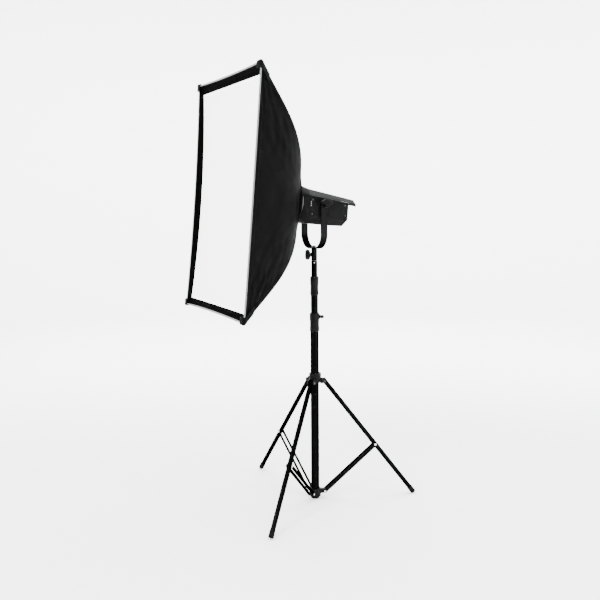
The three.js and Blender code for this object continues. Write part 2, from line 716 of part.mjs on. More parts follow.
/** The lid's cross-section corners at a distance ahead, drawn in by an inset. */
function lidSection(ahead, inset) {
  const seamZ = slope(LID_SEAM, LID_SEAM_REAR, ahead) + GAP / 2;
  const topZ = slope(LID_TOP, LID_TOP_REAR, ahead);
  const lower = inset ? seamZ - 12 : seamZ;
  return [-1, 1].flatMap((side) => [
    [side * (HEAD_HALF + LID_PROUD - inset), -ahead, lower],
    [side * (HEAD_HALF + LID_PROUD - inset), -ahead, seamZ],
    [side * (HEAD_FLAT - inset / 2), -ahead, topZ - inset],
  ]);
}

/** The housing's cross-section, drawn in by an inset; its top is cut off later along the lid's seam. */
function housingOutline(inset) {
  const half = HEAD_HALF - inset;
  const flat = HEAD_FLAT - inset / 2;
  const bottom = -HEAD_BOTTOM + inset;
  return [
    [-half, LID_TOP], [-half, -BEVEL_TOP], [-flat, bottom],
    [flat, bottom], [half, -BEVEL_TOP], [half, LID_TOP],
  ];
}

/** What the chamfer under the rear panel cuts away, drawn in by an inset. */
function rearChamfer(inset) {
  const beyond = 20;
  return wrapped([-1, 1].flatMap((side) => {
    const x = side * (HEAD_HALF + beyond);
    const top = -HEAD_BOTTOM + REAR_CHAMFER_HEIGHT;
    return [
      [x, HEAD_REAR - inset, top],
      [x, HEAD_REAR - inset - REAR_CHAMFER_DEPTH, -HEAD_BOTTOM],
      [x, HEAD_REAR - inset - REAR_CHAMFER_DEPTH, -HEAD_BOTTOM - beyond],
      [x, HEAD_REAR + beyond, top],
      [x, HEAD_REAR + beyond, -HEAD_BOTTOM - beyond],
    ];
  }));
}

/** Everything above the seam between housing and lid. */
function aboveSeam() {
  const beyond = 10;
  const ends = [HEAD_FRONT + beyond, -HEAD_REAR - beyond];
  return wrapped([-1, 1].flatMap((side) => ends.flatMap((ahead) => {
    const x = side * (HEAD_HALF + beyond);
    return [[x, -ahead, slope(LID_SEAM, LID_SEAM_REAR, ahead) - GAP / 2], [x, -ahead, LID_TOP + beyond * 3]];
  })));
}

/** The lower housing with its vents, its two bosses and the studs that it tilts on. */
function addHousing() {
  const length = HEAD_FRONT + HEAD_REAR;
  const above = aboveSeam();
  const outer = cut(plate(housingOutline(0), length, upright(-HEAD_FRONT)), rearChamfer(0));
  const hollow = cut(
    plate(housingOutline(SHELL_WALL), length, upright(-HEAD_FRONT - SHELL_WALL)),
    rearChamfer(SHELL_WALL),
  );
  const window = block(
    [-panelHalf, HEAD_REAR - SHELL_WALL - 1, panelLow],
    [panelHalf, HEAD_REAR + 1, LID_TOP],
  );
  let housing = cut(outer, hollow, window, above);
  for (let vent = 0; vent < VENT_COUNT; vent += 1) {
    const x = (vent - (VENT_COUNT - 1) / 2) * VENT_PITCH;
    housing = housing.subtract(block(
      [x - VENT_WIDTH / 2, -VENT_AHEAD - VENT_LENGTH / 2, -HEAD_BOTTOM - 1],
      [x + VENT_WIDTH / 2, -VENT_AHEAD + VENT_LENGTH / 2, -HEAD_BOTTOM + SHELL_WALL + 1],
    ));
  }
  for (const side of [-1, 1]) {
    const way = [side, 0, 0];
    const bossEnd = yokeHalf - YOKE_STRAP - GAP;
    housing = housing.add(bar(BOSS_RADIUS, HEAD_HALF - 1, bossEnd, way, [0, 0, 0], ROUND));
    housing = housing.add(bar(STUD_RADIUS, HEAD_HALF, yokeHalf + STUD_REACH, way));
  }
  piece("head_housing", housing.subtract(above), "greyPaint", head);
}

/** The lid, which runs on past the rear panel as a hood with two cheeks. */
function addLid() {
  const rear = HEAD_REAR + HOOD_REACH;
  const beyond = 5;
  const outer = wrapped([...lidSection(HEAD_FRONT, 0), ...lidSection(-rear, 0)]);
  const inner = wrapped([
    ...lidSection(HEAD_FRONT + beyond, SHELL_WALL),
    ...lidSection(-rear - beyond, SHELL_WALL),
  ]);
  const cheeks = [-1, 1].map((side) => wrapped([0, SHELL_WALL].flatMap((deep) => {
    const x = side * (HEAD_HALF + LID_PROUD - deep);
    return [HEAD_REAR + GAP, rear].flatMap((y) => {
      const top = slope(LID_SEAM, LID_SEAM_REAR, -y) + SHELL_WALL;
      return [[x, y, top], [x, y, top - SHELL_WALL - HOOD_CHEEK]];
    });
  })));
  piece("top_cover", joined(outer.subtract(inner), ...cheeks), "paleGreyPaint", head);
}

/** The nose, from the housing's octagon to the round mount, and the glass in its throat. */
function addBezel() {
  const right = [
    [HEAD_HALF, LID_SEAM], [HEAD_FLAT, LID_TOP],
    [HEAD_FLAT, -HEAD_BOTTOM], [HEAD_HALF, -BEVEL_TOP],
  ];
  const octagon = right.flatMap(([x, z]) => [[x, z], [-x, z]]);
  const back = -HEAD_FRONT - GAP;
  const rim = Array.from({ length: RING_ROUND }, (_, i) => {
    const angle = (2 * Math.PI * i) / RING_ROUND;
    return [mountRadius * Math.cos(angle), mountRadius * Math.sin(angle)];
  });
  const outer = wrapped([
    ...octagon.flatMap(([x, z]) => [[x, back, z], [x, back - BEZEL_LIP, z]]),
    ...rim.flatMap(([x, z]) => [[x, -bezelFront + BEZEL_STEP, z], [x, -bezelFront, z]]),
  ]);
  const seatRadius = GLASS_RADIUS + GAP;
  const throat = turned([
    [0, -1], [GLASS_RADIUS - 2, -1], [GLASS_RADIUS - 2, GLASS_SEAT],
    [seatRadius, GLASS_SEAT], [seatRadius, GLASS_SEAT + GLASS_THICK + 0.5],
    [noseBore - 4, BEZEL_LENGTH - BEZEL_STEP], [noseBore, BEZEL_LENGTH - BEZEL_STEP],
    [noseBore, BEZEL_LENGTH + 1], [0, BEZEL_LENGTH + 1],
  ], RING_ROUND, [0, back, 0], [0, -1, 0]);
  piece("front_bezel", outer.subtract(throat), "greyPaint", head);
  const glass = bar(GLASS_RADIUS, 0, GLASS_THICK, [0, -1, 0], [0, back - GLASS_SEAT - GAP, 0], RING_ROUND);
  piece("cover_glass", glass, "glass", head);
}

/** A block through the rear panel, around a point of it. */
function boxAround([x, z], [width, height], from = HEAD_REAR - 10, to = HEAD_REAR + 10) {
  return block([x - width / 2, from, z - height / 2], [x + width / 2, to, z + height / 2]);
}

/** A size made larger on both sides. */
function larger(size, by) {
  return size.map((side) => side + 2 * by);
}

/** A round hole through the rear panel. */
function panelHole([x, z], radius) {
  return bar(radius, -10, 10, [0, 1, 0], [x, HEAD_REAR, z]);
}

/** The rear panel, cut for its controls. */
function addRearPanel() {
  const clear = GAP + 0.1;
  const top = Math.min(slope(LID_SEAM, LID_SEAM_REAR, -HEAD_REAR), LID_SEAM_REAR + 10) - 4;
  const panel = block(
    [-panelHalf + clear, HEAD_REAR - SHELL_WALL + 0.5, panelLow + clear],
    [panelHalf - clear, HEAD_REAR, top],
  );
  const recess = block(
    [DISPLAY_LOW[0], HEAD_REAR - DISPLAY_DEPTH, DISPLAY_LOW[1]],
    [DISPLAY_HIGH[0], HEAD_REAR + 1, DISPLAY_HIGH[1]],
  );
  piece("rear_panel", cut(
    panel,
    recess,
    panelHole(DIAL_AT, DIAL_SHAFT + RUNNING),
    panelHole(BUTTON_AT, BUTTON_RADIUS + RUNNING),
    boxAround(SWITCH_AT, larger(SWITCH_SIZE, 0.5)),
    boxAround(INLET_AT, larger(INLET_SIZE, GAP)),
  ), "blackPlastic", head);
}

/** The mount ring with its three notches, and the release latch on top of it. */
function addMount() {
  const back = -bezelFront - GAP;
  const hole = SPIGOT_RADIUS + 0.6;
  let mount = turned([
    [hole, 0], [mountRadius, 0], [mountRadius, MOUNT_THICK - EDGE],
    [mountRadius - EDGE, MOUNT_THICK], [hole, MOUNT_THICK], [hole, 0],
  ], RING_ROUND, [0, back, 0], [0, -1, 0]);
  for (let notch = 0; notch < TAB_COUNT; notch += 1) {
    const middle = (notch * 2 * Math.PI) / TAB_COUNT + Math.PI / 2 + 1;
    const half = TAB_HALF_ANGLE + 0.04;
    const shape = new THREE.Shape();
    shape.absarc(0, 0, SPIGOT_RADIUS + TAB_REACH + 0.6, middle - half, middle + half, false);
    shape.absarc(0, 0, hole - 2, middle + half, middle - half, true);
    mount = mount.subtract(plate(shape, MOUNT_THICK + 4, upright(back - MOUNT_THICK - 2)));
  }
  piece("mount_ring", mount, "castRing", head);

  const foot = mountRadius + GAP;
  const latch = joined(
    block([-8, back - 7, foot], [8, back + 22, foot + 5]),
    block([-6, back + 12, foot + 4], [6, back + 19, foot + 10]),
  );
  piece("mount_latch", latch, "blackPlastic", head);
}

/** The light source on its board, the finned sink behind it and the fan on the sink's axle. */
function addWorks() {
  const half = LED_BOARD / 2;
  const boardFront = -HEAD_FRONT + 1;
  const boardThick = 3;
  const board = joined(
    block([-half, boardFront, -half], [half, boardFront + boardThick, half]),
    bar(LED_RADIUS, -0.5, 1.5, [0, -1, 0], [0, boardFront, 0], ROUND),
  );
  piece("led_board", board, "phosphor", head);

  const low = -BEVEL_TOP - SINK_BELOW;
  const high = LID_TOP - SINK_ROOM;
  const sinkFront = boardFront + boardThick + GAP;
  const sinkBack = sinkFront + SINK_DEPTH;
  let sink = block([-sinkSize / 2, sinkFront, low], [sinkSize / 2, sinkFront + 8, high]);
  for (let fin = 0; fin < FIN_COUNT; fin += 1) {
    const x = THREE.MathUtils.lerp(-sinkSize / 2, sinkSize / 2 - FIN_THICK, fin / (FIN_COUNT - 1));
    sink = sink.add(block([x, sinkFront, low], [x + FIN_THICK, sinkBack, high]));
  }
  const axleAt = [0, sinkBack, FAN_HEIGHT];
  sink = joined(
    sink,
    block([-14, sinkBack - 4, FAN_HEIGHT - 9], [14, sinkBack, FAN_HEIGHT + 9]),
    bar(AXLE_RADIUS, -1, FAN_DEPTH, [0, 1, 0], axleAt),
  );
  piece("heat_sink", sink, "rawMetal", head);

  let rotor = bar(FAN_HUB_RADIUS, 2, FAN_DEPTH + 5, [0, 1, 0], axleAt, 20);
  for (let blade = 0; blade < BLADE_COUNT; blade += 1) {
    const shape = block([FAN_HUB_RADIUS - 5, -1, -7], [FAN_RADIUS, 1, 7]);
    const pitch = new THREE.Matrix4().makeRotationX(BLADE_PITCH);
    const around = new THREE.Matrix4().makeRotationY((blade * 2 * Math.PI) / BLADE_COUNT);
    const place = new THREE.Matrix4().makeTranslation(0, sinkBack + 3 + FAN_DEPTH / 2, FAN_HEIGHT);
    rotor = rotor.add(shape.transform(place.multiply(around).multiply(pitch).toArray()));
  }
  rotor = rotor.subtract(bar(AXLE_RADIUS + RUNNING, -1, FAN_DEPTH + 1, [0, 1, 0], axleAt));
  piece("fan_rotor", rotor, "blackPlastic", head);
}

/** Display, dial, button, switch and inlet on the rear panel. */
function addControls() {
  const face = HEAD_REAR;
  const glassLow = DISPLAY_LOW.map((side) => side + GAP + 0.1);
  const glassHigh = DISPLAY_HIGH.map((side) => side - GAP - 0.1);
  const glass = block(
    [glassLow[0], face - DISPLAY_DEPTH + GAP, glassLow[1]],
    [glassHigh[0], face + 0.4, glassHigh[1]],
  );
  piece("display_window", glass, "display", head);
  const dial = turned([
    [0, -8], [DIAL_SHAFT, -8], [DIAL_SHAFT, GAP], [DIAL_RADIUS, GAP], [DIAL_RADIUS, 10.5],
    [DIAL_RADIUS - EDGE, 12], [0, 12],
  ], ROUND, [DIAL_AT[0], face, DIAL_AT[1]], [0, 1, 0]);
  piece("dimmer_dial", dial, "blackPlastic", head);
  const buttonAt = [BUTTON_AT[0], face, BUTTON_AT[1]];
  piece("mode_button", bar(BUTTON_RADIUS, -5, 2.4, [0, 1, 0], buttonAt), "rubber", head);
  const [width, height] = SWITCH_SIZE;
  const rocker = wrapped([-1, 1].flatMap((side) => {
    const x = SWITCH_AT[0] + (side * width) / 2;
    const points = [[-7, -0.36], [-7, 0.36], [0.4, -0.45], [1.6, 0], [3.4, 0.45]];
    return points.map(([out, up]) => [x, face + out, SWITCH_AT[1] + up * height]);
  }));
  piece("power_switch", rocker, "blackPlastic", head);
  const socket = joined(
    boxAround(INLET_AT, INLET_SIZE, face - 22, face + 1),
    boxAround(INLET_AT, larger(INLET_SIZE, 2.5), face + GAP, face + 2),
  );
  const mouth = boxAround(INLET_AT, larger(INLET_SIZE, -SHELL_WALL), face - 18, face + 5);
  const pins = [-7, 0, 7].map((x) => boxAround([INLET_AT[0] + x, INLET_AT[1]], [2, 4], face - 19, face - 4));
  piece("power_inlet", joined(cut(socket, mouth), ...pins), "blackPlastic", head);
}

// ---- Yoke, knobs and receiver ----------------------------------------------------------------------

/** U strap, its bolt, the receiver under it and the parts that clamp them. */
function addYoke() {
  const strapOutline = new THREE.Shape();
  const outerHalf = yokeHalf;
  const innerHalf = yokeHalf - YOKE_STRAP;
  const outerBottom = yokeUnder - pivotHeight;
  const armTop = YOKE_WIDTH / 2;
  const innerBend = YOKE_BEND - YOKE_STRAP;
  strapOutline.moveTo(outerHalf, armTop);
  strapOutline.lineTo(innerHalf, armTop);
  strapOutline.lineTo(innerHalf, outerBottom + YOKE_BEND);
  strapOutline.absarc(innerHalf - innerBend, outerBottom + YOKE_BEND, innerBend, 0, -Math.PI / 2, true);
  const bendUp = outerBottom + YOKE_BEND;
  strapOutline.absarc(-innerHalf + innerBend, bendUp, innerBend, -Math.PI / 2, -Math.PI, true);
  strapOutline.lineTo(-innerHalf, armTop);
  strapOutline.lineTo(-outerHalf, armTop);
  strapOutline.lineTo(-outerHalf, outerBottom + YOKE_BEND);
  strapOutline.absarc(-outerHalf + YOKE_BEND, bendUp, YOKE_BEND, Math.PI, 1.5 * Math.PI, false);
  strapOutline.absarc(outerHalf - YOKE_BEND, outerBottom + YOKE_BEND, YOKE_BEND, -Math.PI / 2, 0, false);
  const strap = plate(strapOutline, YOKE_WIDTH, upright(-YOKE_WIDTH / 2));
  const armEnd = joined(
    bar(YOKE_WIDTH / 2, -100, 100, [1, 0, 0], [0, 0, 0], 24),
    block([-100, -YOKE_WIDTH / 2, outerBottom - 5], [100, YOKE_WIDTH / 2, 0]),
  );
  let yoke = strap.intersect(armEnd);
  yoke = yoke.subtract(bar(STUD_RADIUS + RUNNING, -100, 100, [1, 0, 0]));
  yoke = yoke.subtract(bar(BOLT_RADIUS + RUNNING, outerBottom - 5, outerBottom + 10));
  piece("yoke", yoke, "blackMetal").position.z = pivotHeight;

  const receiverBase = columnTop + GAP;
  const receiverTop = receiverBase + RECEIVER_HEIGHT;
  const bore = SPIGOT_PIN_RADIUS + RUNNING;
  const boreTop = columnTop + SPIGOT_PIN_HEIGHT + 1;
  const knobWay = [Math.cos(RECEIVER_KNOB_ANGLE), Math.sin(RECEIVER_KNOB_ANGLE), 0];
  const knobAt = [0, 0, columnTop + RECEIVER_KNOB_UP];
  const screw = CLAMP_SCREW;
  const lugEnd = receiverRadius + RECEIVER_LUG;
  const receiver = cut(
    joined(
      turned([
        [0, receiverBase], [receiverRadius, receiverBase],
        [receiverRadius, receiverTop], [0, receiverTop],
      ]),
      bar(8.5, 5, lugEnd, knobWay, knobAt, 20),
    ),
    bar(bore, receiverBase - 1, boreTop, [0, 0, 1], [0, 0, 0], 24),
    bar(BOLT_RADIUS + RUNNING, receiverTop - 9.5, receiverTop + 1),
    bar(screw + RUNNING, 0, lugEnd + 1, knobWay, knobAt),
  );
  piece("stand_receiver", receiver, "blackMetal");

  const knobFoot = lugEnd + GAP;
  const knobEnd = knobFoot + KNOB_THICK;
  let knob = turned([
    [0, SPIGOT_PIN_RADIUS + 1], [screw, SPIGOT_PIN_RADIUS + 1], [screw, knobFoot], [9, knobFoot],
    [11, knobFoot + 5], [KNOB_RADIUS - 2, knobFoot + 7], [KNOB_RADIUS, knobFoot + 9],
    [KNOB_RADIUS, knobEnd - 5], [KNOB_RADIUS - 3, knobEnd - 1.5], [KNOB_RADIUS - 9, knobEnd], [0, knobEnd],
  ], 24, knobAt, knobWay);
  for (let lobe = 0; lobe < KNOB_LOBES; lobe += 1) {
    const angle = (lobe * 2 * Math.PI) / KNOB_LOBES;
    const tool = bar(4.5, knobFoot + 3, knobEnd + 5, [0, 0, 1], [0, 0, 0], 8);
    const offset = new THREE.Matrix4().makeTranslation(
      (KNOB_RADIUS + 2) * Math.cos(angle), (KNOB_RADIUS + 2) * Math.sin(angle), 0,
    );
    knob = knob.subtract(tool.transform(placed(knobAt, knobWay).multiply(offset).toArray()));
  }
  piece("receiver_knob", knob, "blackPlastic");

  const headZ = yokeUnder + YOKE_STRAP + GAP;
  const bolt = turned([
    [0, receiverTop - 8.5], [BOLT_RADIUS, receiverTop - 8.5], [BOLT_RADIUS, headZ], [BOLT_HEAD_RADIUS, headZ],
    [BOLT_HEAD_RADIUS, headZ + BOLT_HEAD_HEIGHT - 1.5], [BOLT_HEAD_RADIUS - 1.5, headZ + BOLT_HEAD_HEIGHT],
    [0, headZ + BOLT_HEAD_HEIGHT],
  ], 20);
  piece("yoke_bolt", bolt, "blackMetal");

  const outerFace = yokeHalf + GAP;
  const capBore = STUD_RADIUS + RUNNING;
  const cap = cut(
    turned([[0, outerFace], [14, outerFace], [14, outerFace + 8], [12, outerFace + 10], [0, outerFace + 10]],
      24, [0, 0, 0], [-1, 0, 0]),
    bar(capBore, 0, outerFace + 6, [-1, 0, 0]),
  );
  piece("pivot_cap", cap, "blackPlastic", head);

  const hub = turned([
    [0, outerFace], [17, outerFace], [17, outerFace + 6],
    [12, outerFace + 10], [11, outerFace + 26], [0, outerFace + 26],
  ], 24, [0, 0, 0], [1, 0, 0]);
  const wing = new THREE.Shape();
  wing.absarc(0, -16, 36, THREE.MathUtils.degToRad(42), THREE.MathUtils.degToRad(138), false);
  wing.absarc(0, -9, 18, THREE.MathUtils.degToRad(150), THREE.MathUtils.degToRad(30), true);
  const wingPlace = new THREE.Matrix4().makeBasis(
    new THREE.Vector3(0, 1, 0),
    new THREE.Vector3(0, 0, 1),
    new THREE.Vector3(1, 0, 0),
  ).setPosition(outerFace + 13, 0, 0);
  const tiltKnob = cut(
    joined(hub, plate(wing, WING_THICK, wingPlace)),
    bar(capBore, 0, outerFace + 6, [1, 0, 0]),
  );
  piece("tilt_knob", tiltKnob, "blackPlastic", head);
}

// ---- Stand -------------------------------------------------------------------------------------------

/** A clamping collar round a tube's top and the thinner tube that leaves it. */
function collar(name, tubeTop, below, above, flare, knobAngle, knobName) {
  const bottom = tubeTop + COLLAR_ABOVE - COLLAR_HEIGHT;
  const top = tubeTop + COLLAR_ABOVE;
  const lowBore = below + RUNNING;
  const highBore = above + RUNNING;
  const body = turned([
    [0, bottom], [flare - 1.5, bottom], [flare, bottom + 4], [flare - 1.2, bottom + 22],
    [flare - 1.2, top - 34], [flare, top - 27], [flare, top - 3], [flare - 2, top], [0, top],
  ]);
  const way = [Math.cos(knobAngle), Math.sin(knobAngle), 0];
  const at = [0, 0, top - COLLAR_KNOB_DOWN];
  const lugEnd = flare + 4;
  const screw = COLLAR_SCREW;
  const clamp = cut(
    joined(body, bar(8, 1, lugEnd, way, at)),
    bar(lowBore, bottom - 1, tubeTop + GAP, [0, 0, 1], [0, 0, 0], ROUND),
    bar(highBore, bottom, top + 1, [0, 0, 1], [0, 0, 0], ROUND),
    bar(screw + RUNNING, 0, lugEnd + 5, way, at),
  );
  piece(name, clamp, "blackPlastic");
  const foot = lugEnd + GAP;
  const tip = above + 1;
  const knob = joined(
    bar(screw, tip, foot + 3, way, at),
    turned([[0, foot], [6, foot], [7, foot + 3], [7, foot + 7], [0, foot + 7]], SMALL_ROUND, at, way),
    wrapped([[-13, 4], [13, 4], [-8, -5], [8, -5], [-14, -1], [14, -1]].flatMap(([side, up]) =>
      [foot + 6, foot + 14].map((reach) => [
        way[0] * reach - way[1] * side, way[1] * reach + way[0] * side, at[2] + up,
      ]))),
  );
  piece(knobName, knob, "blackPlastic");
}

/** Column: plug, three tubes, spigot and two clamping collars. */
function addColumn() {
  const plug = turned([
    [0, 0], [LOWER_RADIUS - 1, 0], [LOWER_RADIUS, 1], [LOWER_RADIUS, PLUG_THICK],
    [LOWER_RADIUS - TUBE_WALL - RUNNING, PLUG_THICK], [LOWER_RADIUS - TUBE_WALL - RUNNING, PLUG_THICK + 16],
    [0, PLUG_THICK + 16],
  ]);
  piece("column_plug", plug, "rubber");
  const tubeFrom = PLUG_THICK + GAP;
  piece("lower_tube", pipe(LOWER_RADIUS, LOWER_RADIUS - TUBE_WALL, tubeFrom, LOWER_TOP), "blackMetal");
  const middle = pipe(middleRadius, middleRadius - TUBE_WALL, middleTop - MIDDLE_LENGTH, middleTop);
  piece("middle_tube", middle, "blackMetal");
  const topFrom = columnTop - TOP_LENGTH;
  piece("top_tube", pipe(topRadius, topRadius - TUBE_WALL, topFrom, columnTop - 0.5), "blackMetal");
  const pinTop = columnTop + SPIGOT_PIN_HEIGHT;
  const spigot = turned([
    [0, columnTop - 34], [topRadius - TUBE_WALL - RUNNING, columnTop - 34],
    [topRadius - TUBE_WALL - RUNNING, columnTop - 0.2], [SPIGOT_PIN_RADIUS, columnTop - 0.2],
    [SPIGOT_PIN_RADIUS, pinTop - 1.5], [SPIGOT_PIN_RADIUS - 1.5, pinTop], [0, pinTop],
  ], 24);
  piece("spigot", spigot, "rawMetal");
  collar(
    "middle_collar", LOWER_TOP, LOWER_RADIUS, middleRadius,
    LOWER_RADIUS + COLLAR_FLARE, COLLAR_KNOB_ANGLE, "middle_collar_knob",
  );
  collar(
    "upper_collar", middleTop, middleRadius, topRadius,
    middleRadius + UPPER_FLARE, UPPER_KNOB_ANGLE, "upper_collar_knob",
  );
}

const legRun = BRACE_LEG_RADIUS - legPivotRadius;
const legRise = LEG_PIVOT_HEIGHT - BRACE_LEG_HEIGHT;
const legAngle = Math.atan2(legRun, legRise); // from the vertical
const legAngles = [0, 1, 2].map((leg) => NEAR_LEG_ANGLE + (leg * 2 * Math.PI) / 3);
const legNames = ["near", "right", "left"];
const earGap = LEG_TUBE_RADIUS + 0.55;
const earOuter = earGap + EAR_THICK;

/** The outline of a lug in the plane of a leg: a round end at the pivot and a root at the hub. */
function lug(pinRadius, pinHeight, endRadius, rootRadius, rootLow, rootHigh, thickness) {
  const points = Array.from({ length: 8 }, (_, i) => {
    const angle = (i * Math.PI) / 4;
    return [pinRadius + endRadius * Math.cos(angle), pinHeight + endRadius * Math.sin(angle)];
  });
  points.push([rootRadius, rootLow], [rootRadius, rootHigh]);
  return wrapped(points.flatMap(([radius, z]) => [-1, 1].map((side) => [radius, (side * thickness) / 2, z])));
}

/** Turns a solid that was made along +X to a leg's own angle. */
function around(shape, angle) {
  return shape.transform(new THREE.Matrix4().makeRotationZ(angle).toArray());
}

/** The hubs that slide on and sit at the foot of the column. */
function addHubs() {
  const top = SPIDER_BOTTOM + SPIDER_HEIGHT;
  const bore = LOWER_RADIUS + RUNNING;
  let spider = turned([
    [bore, SPIDER_BOTTOM], [spiderRadius, SPIDER_BOTTOM], [spiderRadius, top - 3], [spiderRadius - 3, top],
    [bore, top], [bore, SPIDER_BOTTOM],
  ]);
  const fork = cut(
    lug(legPivotRadius, LEG_PIVOT_HEIGHT, 8, spiderRadius - 4, SPIDER_BOTTOM + 1, top - 8, 2 * earOuter),
    block([spiderRadius, -earGap, 0], [100, earGap, top + 10]),
  );
  const pinAt = [legPivotRadius, 0, LEG_PIVOT_HEIGHT];
  const pin = bar(PIN_RADIUS, -earOuter - 1.5, earOuter + 1.5, [0, 1, 0], pinAt);
  const ear = fork.add(pin);
  for (const angle of legAngles) spider = spider.add(around(ear, angle));
  const way = [Math.cos(SPIDER_KNOB_ANGLE), Math.sin(SPIDER_KNOB_ANGLE), 0];
  const at = [0, 0, SPIDER_BOTTOM + SPIDER_HEIGHT * 0.6];
  const bossEnd = spiderRadius + 4;
  const screw = COLLAR_SCREW;
  spider = cut(
    spider.add(bar(8, LOWER_RADIUS + 2, bossEnd, way, at)),
    bar(bore, SPIDER_BOTTOM - 1, top + 1, [0, 0, 1], [0, 0, 0], ROUND),
    bar(screw + RUNNING, 0, bossEnd + 5, way, at),
  );
  piece("leg_spider", spider, "blackPlastic");
  const foot = bossEnd + GAP;
  const knob = joined(
    bar(screw, LOWER_RADIUS + 0.8, foot + 3, way, at),
    turned([
      [0, foot], [7, foot], [15, foot + 4],
      [15, foot + 10], [12, foot + 13], [0, foot + 13],
    ], 20, at, way),
  );
  piece("spider_knob", knob, "blackPlastic");

  const low = PLUG_THICK + 5;
  const high = BRACE_PIVOT_HEIGHT + 14;
  let collarBody = turned([
    [bore, low], [spiderRadius - 1, low], [spiderRadius, low + 2], [spiderRadius, high - 2],
    [spiderRadius - 1, high], [bore, high], [bore, low],
  ]);
  const tongue = cut(
    lug(bracePivotRadius, BRACE_PIVOT_HEIGHT, 7, spiderRadius - 4, low + 6, high - 4, 2 * LEG_TUBE_RADIUS),
    bar(PIN_RADIUS + RUNNING, -20, 20, [0, 1, 0], [bracePivotRadius, 0, BRACE_PIVOT_HEIGHT]),
  );
  for (const angle of legAngles) collarBody = collarBody.add(around(tongue, angle));
  collarBody = collarBody.subtract(bar(bore, low - 1, high + 1, [0, 0, 1], [0, 0, 0], ROUND));
  piece("lower_collar", collarBody, "blackPlastic");
}

/** One leg, its foot and its brace, made in the plane of +X and turned to their own angle. */
function addLeg(name, angle) {
  const group = new THREE.Group();
  group.rotation.z = angle;
  assembly.add(group);
  const down = new THREE.Vector3(Math.sin(legAngle), 0, -Math.cos(legAngle));
  const pivot = [legPivotRadius, 0, LEG_PIVOT_HEIGHT];
  const reach = (LEG_PIVOT_HEIGHT + FOOT_FLAT - FOOT_RADIUS * Math.sin(legAngle)) / Math.cos(legAngle);
  const tubeEnd = reach - FOOT_END - GAP;
  const way = down.toArray();
  const inner = LEG_TUBE_RADIUS - LEG_WALL;
  const tube = turned([
    [inner, -8], [LEG_TUBE_RADIUS, -8], [LEG_TUBE_RADIUS, tubeEnd], [inner, tubeEnd], [inner, -8],
  ], 16, pivot, way);
  const hole = bar(PIN_RADIUS + RUNNING, -20, 20, [0, 1, 0], pivot);
  piece(`leg_${name}`, tube.subtract(hole), "blackMetal", group);

  const cupBore = LEG_TUBE_RADIUS + RUNNING;
  const foot = turned([
    [0, tubeEnd + GAP], [cupBore, tubeEnd + GAP],
    [cupBore, reach - FOOT_LENGTH], [FOOT_RADIUS, reach - FOOT_LENGTH],
    [FOOT_RADIUS, reach], [0, reach],
  ], 16, pivot, way);
  const floor = block([0, -60, -60], [900, 60, 0]);
  piece(`foot_${name}`, foot.subtract(floor), "rubber", group);

  const braceWay = new THREE.Vector3(
    BRACE_LEG_RADIUS - bracePivotRadius, 0, BRACE_LEG_HEIGHT - BRACE_PIVOT_HEIGHT,
  );
  const braceEnds = [[bracePivotRadius, BRACE_PIVOT_HEIGHT], [BRACE_LEG_RADIUS, BRACE_LEG_HEIGHT]];
  const outline = braceEnds.flatMap(([radius, z], end) =>
    Array.from({ length: 7 }, (_, i) => {
      const turn = Math.atan2(braceWay.z, braceWay.x) + Math.PI / 2 + (end ? -1 : 1) * (i * Math.PI) / 6;
      return [radius + (BRACE_WIDTH / 2) * Math.cos(turn), z + (BRACE_WIDTH / 2) * Math.sin(turn)];
    }));
  const inside = LEG_TUBE_RADIUS + 0.65;
  const outside = inside + BRACE_THICK;
  const strip = (side) => wrapped(outline.flatMap(([radius, z]) =>
    [inside, outside].map((y) => [radius, side * y, z])));
  const [root, tip] = braceEnds.map(([radius, z]) => [radius, 0, z]);
  const rivets = [-1, 1].map((side) => bar(5, outside - 1, outside + 1.6, [0, side, 0], tip));
  const pin = bar(PIN_RADIUS, -outside - 1.6, outside + 1.6, [0, 1, 0], root);
  piece(`brace_${name}`, joined(strip(-1), strip(1), pin, ...rivets), "blackMetal", group);
}

addCloth();
addRing();
addHousing();
addLid();
addBezel();
addRearPanel();
addMount();
addWorks();
addControls();
addYoke();
addColumn();
addHubs();
legNames.forEach((name, leg) => addLeg(name, legAngles[leg]));

export default assembly;
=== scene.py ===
"""Looks of a rectangular softbox on a bayonet-mount LED head, a U yoke and a three-section light stand.

Sizes here are in millimetres. Objects are made in metres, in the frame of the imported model.
"""

from __future__ import annotations

import json
import logging
from dataclasses import dataclass, field
from enum import Enum
from math import atan2, copysign, cos, exp, hypot, pi, radians, sin, sqrt, tan
from typing import Callable, Iterable, Sequence

import bmesh
import bpy
from mathutils import Matrix, Vector, noise

